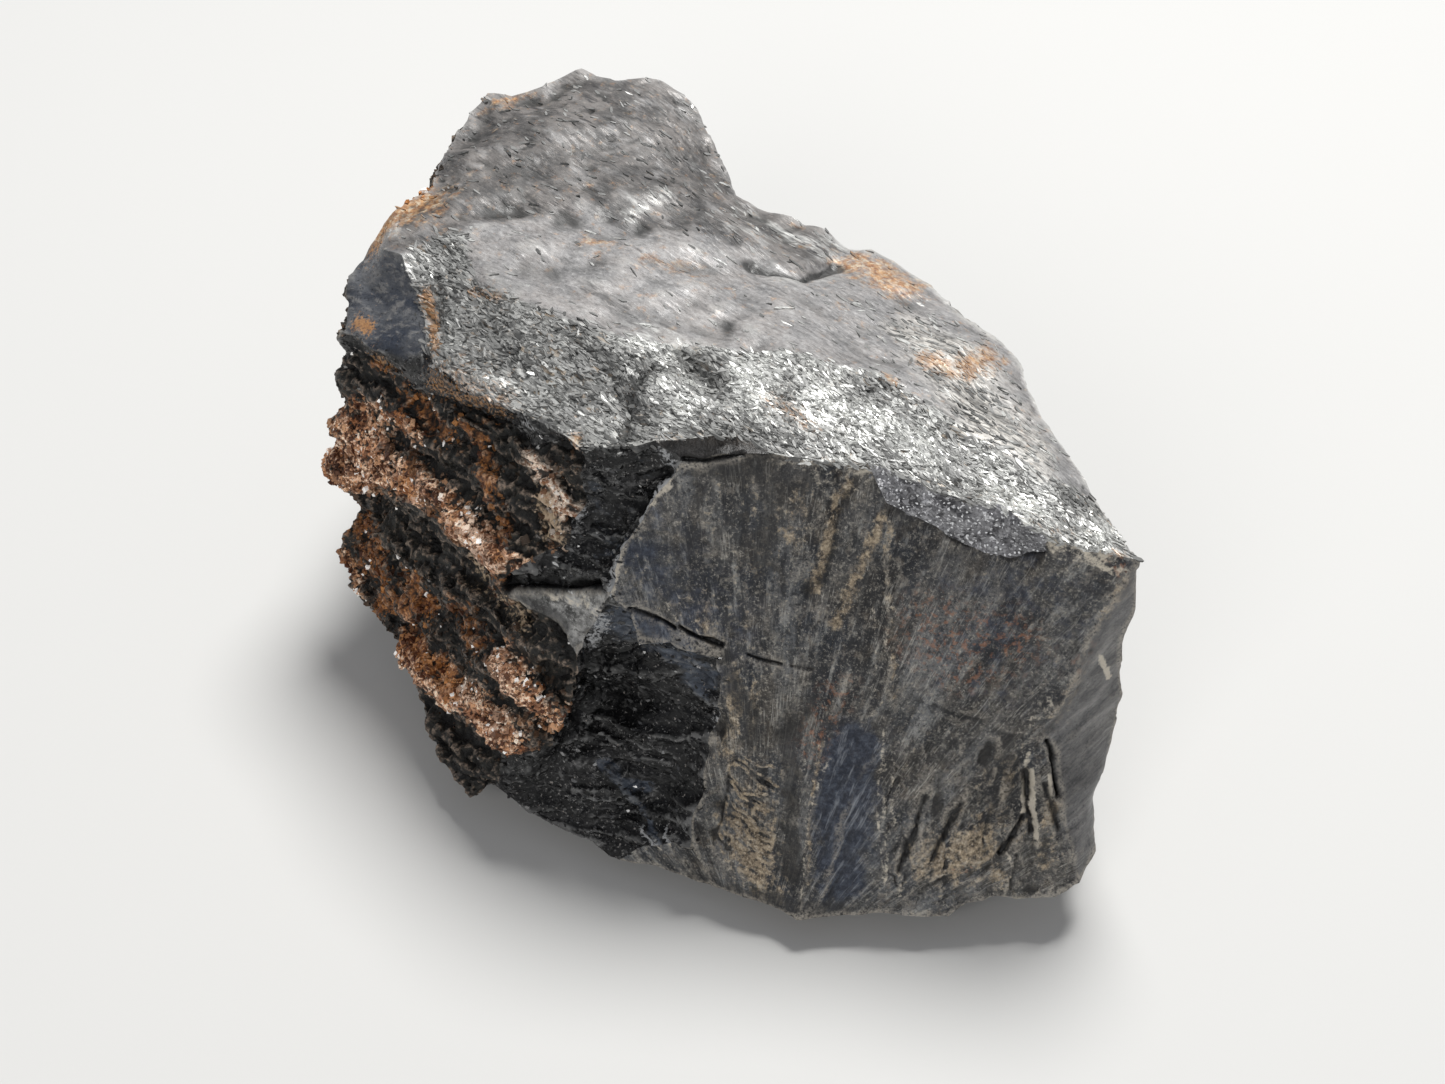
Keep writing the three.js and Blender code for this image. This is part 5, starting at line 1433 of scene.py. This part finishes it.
def crust_look():
    """Rusty and pale feldspar grains over greenish black rock; painted shade in its hollows and under the
    dark marks, painted highlights on its crests.
    """
    look = Look("feldspar_crust")
    drawn = look.drawn(CRUST_ALONG, 0.5)
    random, plate = look.cells(0.5, drawn)
    _, small_plate = look.cells(0.22)
    patches = look.noise(2.2, 5, 0.66, drawn, 0.4)
    lumps = look.noise(0.9, 5, 0.66, drawn)
    fine = look.noise(0.34, 4, 0.66)
    edge = look["edge"]
    rock = look.over(look.ramp(patches, 0.42, 0.64, (0.005, 0.0055, 0.0045), (0.028, 0.026, 0.020)),
                     (fine, 0.57, 0.70, 0.7, (0.13, 0.11, 0.085)))
    russet = look.ramp(fine, 0.36, 0.62, (0.035, 0.012, 0.005), (0.42, 0.18, 0.075))
    grain = look.over(
        look.ramp(lumps, 0.36, 0.64, (0.22, 0.088, 0.038), (0.68, 0.42, 0.26)),
        (random[1], 0.45, 0.85, 0.85, (0.80, 0.58, 0.42)),
        (fine, 0.52, 0.60, 0.9, (0.95, 0.81, 0.67)),
        (lumps, 0.46, 0.38, 0.85, (0.10, 0.04, 0.02)),
        (fine, 0.49, 0.38, 0.95, (0.03, 0.014, 0.008)),
        (look.noise(1.3, 3, 0.6), 0.49, 0.60, 0.85, russet))
    rust = look.ramp(fine, 0.36, 0.64, (0.12, 0.04, 0.013), (0.52, 0.25, 0.085))
    cream = look.ramp(fine, 0.40, 0.56, (0.36, 0.19, 0.105), (0.96, 0.86, 0.75))
    sand = look.mix(fine, (0.20, 0.14, 0.085), (0.66, 0.54, 0.40))
    # painted shade in part: under the dark marks, in troughs and grooves and under the lip, fewer grains
    # and less rust show
    shaded = look.times(look["stain_dark"], -0.5)
    shown = look.plus(look.times(look["stain_pink"], 0.95), shaded,
                      look.span(look["raised"], 0.5, 0.8, 0, 0.2),
                      look.span(patches, 0.35, 0.65, -0.25, 0.25))
    rusty = look.plus(look["stain_rust"], look.span(patches, 0.48, 0.64, -0.1, 0.5), shaded)
    # crest: a painted highlight on the convex crests
    crest = look.times(look.span(edge, 0.6, 0.95), look.span(fine, 0.4, 0.6), 0.4)
    colour = look.over(
        rock,
        (look.ragged(shown, lumps, 0.38, 0.66, 0.9), grain),
        (look.ragged(rusty, look.noise(0.7, 4, 0.66), 0.42, 0.8), 0.75, rust),
        (look.ragged(look["stain_pale"], lumps, 0.3, 0.8), 0.9, cream),
        (look.ragged(look["stain_tan"], fine), 0.85, sand),
        # painted shade in the hollows of the skin
        (edge, 0.46, 0.12, 0.93, (0.007, 0.006, 0.005)),
        (crest, (0.62, 0.50, 0.41)))
    bumps = [(lumps, 0.5, 0.6), (plate, 0.18, 0.8), (small_plate, 0.09, 0.8), (fine, 0.12, 0.7)]
    return look.finish(look.contrast(colour, 1.25, 1.5), look.span(fine, 0.3, 0.7, 0.42, 0.8), bumps)


def grain_look():
    """Grains of the crust: rusty, pink, cream and a few clear white ones."""
    look = Look("crust_grain")
    tone = look["tone"]
    fine = look.noise(0.22, 4, 0.65)
    russet = look.ramp(tone, 0.2, 0.75, (0.05, 0.016, 0.006), (0.44, 0.20, 0.085))
    pink = look.over(
        look.ramp(tone, 0.2, 0.6, (0.12, 0.045, 0.018), (0.66, 0.41, 0.25)),
        (tone, 0.65, 0.85, 1, (0.95, 0.82, 0.69)),
        (look.noise(1.3, 3, 0.6), 0.49, 0.60, 0.85, russet))
    rust = look.ramp(tone, 0.2, 0.8, (0.15, 0.05, 0.015), (0.60, 0.29, 0.09))
    cream = look.ramp(tone, 0.2, 0.5, (0.38, 0.22, 0.13), (0.93, 0.87, 0.80))
    colour = look.over(
        look.ramp(tone, 0.2, 0.8, (0.016, 0.014, 0.010), (0.13, 0.085, 0.055)),
        (look["pink"], 0.15, 0.5, 1, pink),
        (look["rust"], 0.2, 0.6, 0.75, rust),
        # grains under the dark marks: darker patches, and painted shade in troughs and grooves
        (look["dark"], 0.8, (0.02, 0.017, 0.013)),
        (look["pale"], 0.9, cream),
        (fine, 0.48, 0.36, 0.8, (0.06, 0.032, 0.018)),
        (tone, 0.96, 0.99, 1, (0.92, 0.90, 0.87)))
    roughness = look.span(tone, 0.75, 1, 0.6, 0.16)
    return look.finish(look.contrast(colour, 1.25, 1.4), roughness, [(fine, 0.1, 0.8)])


def hollow_look():
    """Black glassy fracture, with ledges that catch the light; painted glints on the ledge crests and in
    specks, painted shade in its cracks.
    """
    look = Look("black_hollow")
    drawn = look.drawn(HOLLOW_ALONG, 0.35)
    random, plate = look.cells(0.7, drawn)
    _, small_plate = look.cells(0.22)
    patches = look.noise(2.0, 5, 0.62, drawn)
    streaks = look.noise(0.5, 4, 0.62, drawn, 0.3)
    fine = look.noise(0.26, 3, 0.62)
    edge, blue_skin = look["edge"], look["skin_blue"]
    block = look.over(
        look.ramp(patches, 0.38, 0.62, (0.035, 0.042, 0.058), (0.12, 0.125, 0.135)),
        (streaks, 0.52, 0.66, 0.7, (0.22, 0.215, 0.21)),
        (fine, 0.44, 0.32, 0.8, (0.02, 0.02, 0.024)))
    blue = look.ragged(look["stain_blue"], patches)
    veil = look.ramp(streaks, 0.38, 0.64, (0.016, 0.021, 0.032), (0.10, 0.12, 0.155))
    # crest: painted glints along the crests of the ledges
    crest = look.times(look.span(edge, 0.6, 0.92), look.span(patches, 0.38, 0.56), 0.6)
    colour = look.over(
        look.ramp(patches, 0.38, 0.65, (0.0025, 0.0026, 0.003), (0.009, 0.009, 0.0095)),
        (streaks, 0.58, 0.70, 0.8, (0.09, 0.09, 0.088)),
        # painted glints: small bright specks on the black fracture
        (fine, 0.60, 0.70, 0.8, (0.28, 0.28, 0.275)),
        (blue_skin, block),
        (blue, 0.75, veil),
        (look.ragged(look["stain_pale"], fine), 0.8, (0.45, 0.46, 0.47)),
        (look.ragged(look["stain_rust"], fine), 0.8, look.mix(fine, RUST_DARK, RUST_PALE)),
        (crest, (0.24, 0.24, 0.236)),
        # painted shade in the fine cracks
        (look["cut"], 0.003))
    calm = look.plus(look.times(blue, 0.5), look.times(blue_skin, 0.4))
    bumps = [(plate, 0.2, look.blend(calm, 0.85, 0.2)), (streaks, 0.16, 0.7),
             (small_plate, 0.07, look.blend(calm, 0.7, 0.2))]
    return look.finish(colour, look.span(random[1], 0, 1, 0.18, 0.5), bumps, specular=0.35)


def glossy_chip_look():
    """Little glossy faces in the hollows: black, some of them steely, the brightest few painted as glints.
    """
    look = Look("glossy_chip")
    tone = look["tone"]
    fine = look.noise(0.15, 2, 0.6)
    colour = look.over(
        look.ramp(tone, 0.55, 0.95, (0.006, 0.006, 0.0065), (0.10, 0.10, 0.103)),
        # painted glints: the brightest few chips are pale grey
        (tone, 0.91, 0.99, 1, (0.55, 0.55, 0.54)),
        (look["steel"], look.mix(tone, (0.12, 0.12, 0.13), (0.72, 0.72, 0.74))),
        (look["crust"], 0.6, (0.05, 0.036, 0.025)),
        (fine, 0.55, 0.7, 0.5, 0.03))
    return look.finish(colour, look.span(tone, 0, 1, 0.45, 0.14), [(fine, 0.02, 0.5)],
                       look.span(tone, 0.6, 1, 0, 0.5), 0.6)


def face_look():
    """Dark satin fracture face, mottled brown, blue and grey, with tan dust in its grooves; painted shade
    in its hollows, cracks and brown band, painted highlights on its crests and some edges.
    """
    look = Look("dark_fracture_face")
    fan = look.fan(0.14)
    broad = look.noise(2.4, 4, 0.6, fan)
    streaks = look.noise(0.6, 5, 0.70, fan)
    bands = look.noise(4.2, 3, 0.55, look.fan(0.2))
    hairs = look.noise(0.5, 3, 0.6, look.fan(0.05))
    clouds = look.noise(5.5, 4, 0.6, distortion=0.4)
    patches = look.noise(1.5, 5, 0.70)
    mottles = look.noise(0.95, 5, 0.74)
    grit = look.noise(0.55, 4, 0.70)
    fine = look.noise(0.22, 3, 0.68)
    _, plate = look.cells(0.4)
    edge, brown_skin = look["edge"], look["skin_brown"]
    brushed = look.span(clouds, 0.60, 0.42, 0.3, 0.85)
    hair = look.span(look.math("ABSOLUTE", look.plus(hairs, -0.5)), 0, 0.018, 1, 0)
    colour = look.over(
        look.ramp(clouds, 0.38, 0.60, (0.024, 0.031, 0.044), (0.078, 0.070, 0.060)),
        (broad, 0.44, 0.62, 0.7, (0.10, 0.10, 0.098)),
        (broad, 0.49, 0.34, 0.75, (0.018, 0.020, 0.025)),
        (bands, 0.50, 0.64, 0.8, (0.15, 0.155, 0.16)),
        (bands, 0.48, 0.36, 0.85, (0.013, 0.0135, 0.016)),
        (patches, 0.54, 0.68, 0.6, (0.14, 0.112, 0.08)),
        (look.times(look.span(streaks, 0.53, 0.64), brushed), (0.25, 0.25, 0.24)),
        (look.times(look.span(streaks, 0.47, 0.36), brushed), (0.014, 0.015, 0.018)),
        (mottles, 0.54, 0.62, 0.45, (0.235, 0.215, 0.185)),
        (mottles, 0.46, 0.39, 0.6, (0.015, 0.016, 0.019)),
        (grit, 0.55, 0.68, 0.5, (0.30, 0.285, 0.25)),
        (grit, 0.46, 0.34, 0.5, (0.011, 0.012, 0.014)),
        (fine, 0.56, 0.70, 0.6, (0.40, 0.38, 0.34)),
        (fine, 0.43, 0.32, 0.8, (0.012, 0.012, 0.013)),
        (look.times(hair, look.span(patches, 0.40, 0.54), look.span(clouds, 0.42, 0.56)), 0.6,
         (0.42, 0.41, 0.38)))
    ridge = look.span(look["fine"], 0.44, 0.62)
    dust = look.plus(look.times(look["stain_tan"], look.span(ridge, 0, 1, 0.55, 1)),
                     look.times(look["skin_striated"], ridge, 0.25),
                     look.times(look["skin_ribbed"], ridge, 0.9),
                     look.span(streaks, 0.35, 0.65, -0.25, 0.25))
    dust = look.ragged(dust, grit, 0.4, 0.85)
    sandy = look.over(
        look.ramp(grit, 0.38, 0.64, (0.085, 0.064, 0.043), (0.36, 0.30, 0.22)),
        (fine, 0.52, 0.66, 0.6, (0.55, 0.48, 0.38)),
        (fine, 0.42, 0.30, 0.8, (0.035, 0.026, 0.018)))
    veil = look.over(
        look.ramp(grit, 0.42, 0.66, (0.014, 0.020, 0.036), (0.066, 0.080, 0.108)),
        (streaks, 0.54, 0.66, 0.8, (0.22, 0.235, 0.26)))
    # brown: the brown band under the front edge of the top, its brown darkened as painted shadow from that
    # edge
    brown = look.over(
        look.ramp(patches, 0.4, 0.62, (0.010, 0.009, 0.008), (0.030, 0.024, 0.019)),
        (fine, 0.58, 0.70, 0.6, (0.12, 0.10, 0.085)))
    grey = look.over(
        look.ramp(patches, 0.38, 0.60, (0.045, 0.046, 0.045), (0.33, 0.328, 0.32)),
        (grit, 0.46, 0.34, 0.7, 0.03),
        (fine, 0.56, 0.68, 0.6, (0.42, 0.42, 0.41)))
    side = look.over(
        look.ramp(streaks, 0.36, 0.64, (0.07, 0.07, 0.073), (0.21, 0.205, 0.20)),
        (fine, 0.42, 0.32, 0.7, 0.03))
    rusty = look.times(look.span(look["stain_rust"], 0.08, 0.3),
                       look.span(look.noise(0.5, 3, 0.62), 0.52, 0.62), look.span(grit, 0.34, 0.50))
    # crest: painted highlight on convex edges, none on the brown band
    crest = look.times(look.span(edge, 0.56, 0.85), look.span(fine, 0.35, 0.55),
                       look.span(brown_skin, 0, 0.6, 0.6, 0))
    colour = look.over(
        colour,
        (dust, 0.9, sandy),
        (look.ragged(look["stain_blue"], patches, 0.25, 0.6, 0.9), 0.88, veil),
        (rusty, 0.5, (0.30, 0.14, 0.075)),
        # the brown band, brown with painted shadow
        (brown_skin, 0.1, 0.5, 1, brown),
        (look["skin_grey"], grey),
        (look["skin_side"], 0.75, side),
        # pale marks: pale ridges and hairlines, and painted highlights along the left edge and the top of
        # the right-hand edge
        (look.ragged(look["stain_pale"], grit, 0.5, 0.9, 1.2), 0.8, (0.50, 0.46, 0.39)),
        # dark marks: darker patches, and painted shade in grooves, the brown band, along the crack and the
        # lower front edge
        (look.ragged(look["stain_dark"], patches), 0.65, (0.018, 0.018, 0.019)),
        # painted highlight on convex edges
        (crest, (0.33, 0.305, 0.265)),
        # painted shade in the hollows of the skin
        (edge, 0.42, 0.15, 0.8, (0.010, 0.009, 0.008)),
        # painted shade in the fine cracks
        (look["cut"], 0.004))
    bumps = [(streaks, 0.16, 0.8), (grit, 0.10, 0.7), (plate, 0.05, 0.5), (fine, 0.05, 0.8)]
    roughness = look.plus(look.span(fine, 0.3, 0.7, 0.28, 0.52), look.times(dust, 0.2))
    return look.finish(look.contrast(colour, 1.2, 1.65), roughness, bumps, specular=0.4)


def chip_look():
    """A chipped edge of fresh, steely grains, with painted glints on small cells and painted highlights on
    its convex edges.
    """
    look = Look("steely_chip")
    random, plate = look.cells(0.36)
    small, small_plate = look.cells(0.17)
    colour = look.over(
        look.ramp(look.noise(1.8, 4, 0.6), 0.38, 0.60, (0.06, 0.06, 0.066), (0.27, 0.27, 0.285)),
        (random[0], 0.5, 1, 0.6, (0.50, 0.50, 0.52)),
        (look.noise(0.22, 3, 0.62), 0.46, 0.33, 0.8, (0.03, 0.03, 0.032)),
        # painted glints: a few small cells near white
        (small[0], 0.86, 0.9, 1, (0.85, 0.86, 0.88)),
        # painted highlight on the convex edges
        (look["edge"], 0.6, 0.9, 0.5, (0.62, 0.62, 0.64)))
    return look.finish(colour, look.span(random[1], 0, 1, 0.2, 0.5),
                       [(plate, 0.18, 0.9), (small_plate, 0.08, 0.8)], 0.35)


def back_look():
    """The hidden side: dark fracture with fine silvery mica, rust films and dust; painted shade in its
    hollows, painted highlights on its convex edges.
    """
    look = Look("rough_back")
    drawn = look.drawn(TOP_ALONG, 0.4)
    clouds = look.noise(6, 5, 0.62, drawn)
    patches = look.noise(1.8, 5, 0.68, drawn)
    streaks = look.noise(0.7, 4, 0.66, drawn)
    fine = look.noise(0.3, 4, 0.66)
    random, plate = look.cells(0.6, drawn)
    _, small_plate = look.cells(0.28)
    edge = look["edge"]
    mica = look.ramp(streaks, 0.38, 0.62, 0.05, (0.30, 0.296, 0.285))
    silvery = look.ragged(look.span(clouds, 0.42, 0.66), patches, 0.35, 0.9, 0.9)
    rusty = look.ragged(look.span(look.noise(4, 5, 0.65, distortion=0.5), 0.54, 0.7), streaks, 0.4, 0.9)
    colour = look.over(
        look.ramp(patches, 0.38, 0.62, (0.013, 0.0135, 0.014), (0.066, 0.062, 0.058)),
        (streaks, 0.53, 0.66, 0.7, (0.15, 0.145, 0.135)),
        (silvery, 0.8, mica),
        (fine, 0.57, 0.68, 0.7, (0.30, 0.28, 0.245)),
        (fine, 0.44, 0.33, 0.8, 0.010),
        (rusty, 0.7, look.mix(fine, RUST_DARK, RUST_PALE)),
        # painted shade in the hollows of the skin, then a painted highlight on its convex edges
        (edge, 0.45, 0.15, 0.85, 0.010),
        (edge, 0.58, 0.9, 0.35, (0.28, 0.26, 0.23)))
    bumps = [(plate, 0.2, 0.7), (streaks, 0.12, 0.6), (small_plate, 0.08, 0.6)]
    return look.finish(colour, look.span(random[1], 0, 1, 0.35, 0.6), bumps, specular=0.4)


# ---- floor, light and camera ----------------------------------------------------------

FLOOR_SIZE = 3.0
FLOOR_COLOUR = (0.60, 0.60, 0.59)
LIGHT_AIM = Vector((0, 0, 0.020))
# name, place, size, power, colour
LIGHTS = [
    ("window_light", (0.10, 0.24, 0.60), 0.28, 5.4, (1, 0.99, 0.97)),
    ("front_fill", (-0.2, -0.55, 0.4), 0.35, 1.35, (1, 0.98, 0.96)),
]
ROOM_COLOUR, ROOM_STRENGTH = (0.9, 0.93, 1, 1), 0.22
CAMERA_LENS = 70.0
CAMERA_SENSOR = 36.0
CAMERA_ELEVATION = math.radians(42)
CAMERA_AIM = Vector((0, 0, 0.020))
PHOTO_WIDTH = 1445
PIXELS_PER_MM = 12.1


def make_floor():
    bpy.ops.mesh.primitive_plane_add(size=FLOOR_SIZE)
    floor = bpy.context.object
    floor.name = "floor"
    look = Look("pale_floor")
    colour = look.over(FLOOR_COLOUR, (look.noise(60, 3, 0.5), 0.08, 0.5))
    floor.data.materials.append(look.finish(colour, 0.8, [(look.noise(0.8), 0.02, 0.3)]))


def make_lights():
    for name, place, size, power, colour in LIGHTS:
        data = bpy.data.lights.new(name, "AREA")
        data.shape, data.size, data.energy, data.color = "DISK", size, power, colour
        light = bpy.data.objects.new(name, data)
        light.location = place
        light.rotation_euler = (LIGHT_AIM - light.location).to_track_quat("-Z", "Y").to_euler()
        bpy.context.scene.collection.objects.link(light)
    world = bpy.data.worlds.new("soft_room")
    world.use_nodes = True
    background = world.node_tree.nodes["Background"]
    background.inputs["Color"].default_value = ROOM_COLOUR
    background.inputs["Strength"].default_value = ROOM_STRENGTH
    bpy.context.scene.world = world


def make_camera():
    data = bpy.data.cameras.new("photo_view")
    data.lens, data.sensor_width, data.clip_start = CAMERA_LENS, CAMERA_SENSOR, 0.01
    distance = CAMERA_LENS / CAMERA_SENSOR * PHOTO_WIDTH / PIXELS_PER_MM * MM
    camera = bpy.data.objects.new("photo_view", data)
    back = Vector((0, -math.cos(CAMERA_ELEVATION), math.sin(CAMERA_ELEVATION)))
    camera.location = CAMERA_AIM + back * distance
    camera.rotation_euler = (math.pi / 2 - CAMERA_ELEVATION, 0, 0)
    bpy.context.scene.collection.objects.link(camera)
    bpy.context.scene.camera = camera


# ---- the scene ------------------------------------------------------------------------

crystal_lump = shape_lump()
make_skin(crystal_lump, [mica_look(), crust_look(), hollow_look(), face_look(), chip_look(), back_look()])
random_numbers = np.random.default_rng(RANDOM_SEED)
make_mica_flakes(random_numbers, crystal_lump, flake_look())
make_crust_grains(random_numbers, crystal_lump, grain_look())
make_hollow_chips(random_numbers, crystal_lump, glossy_chip_look())

make_floor()
make_lights()
make_camera()
bpy.context.scene.view_settings.view_transform = "Standard"
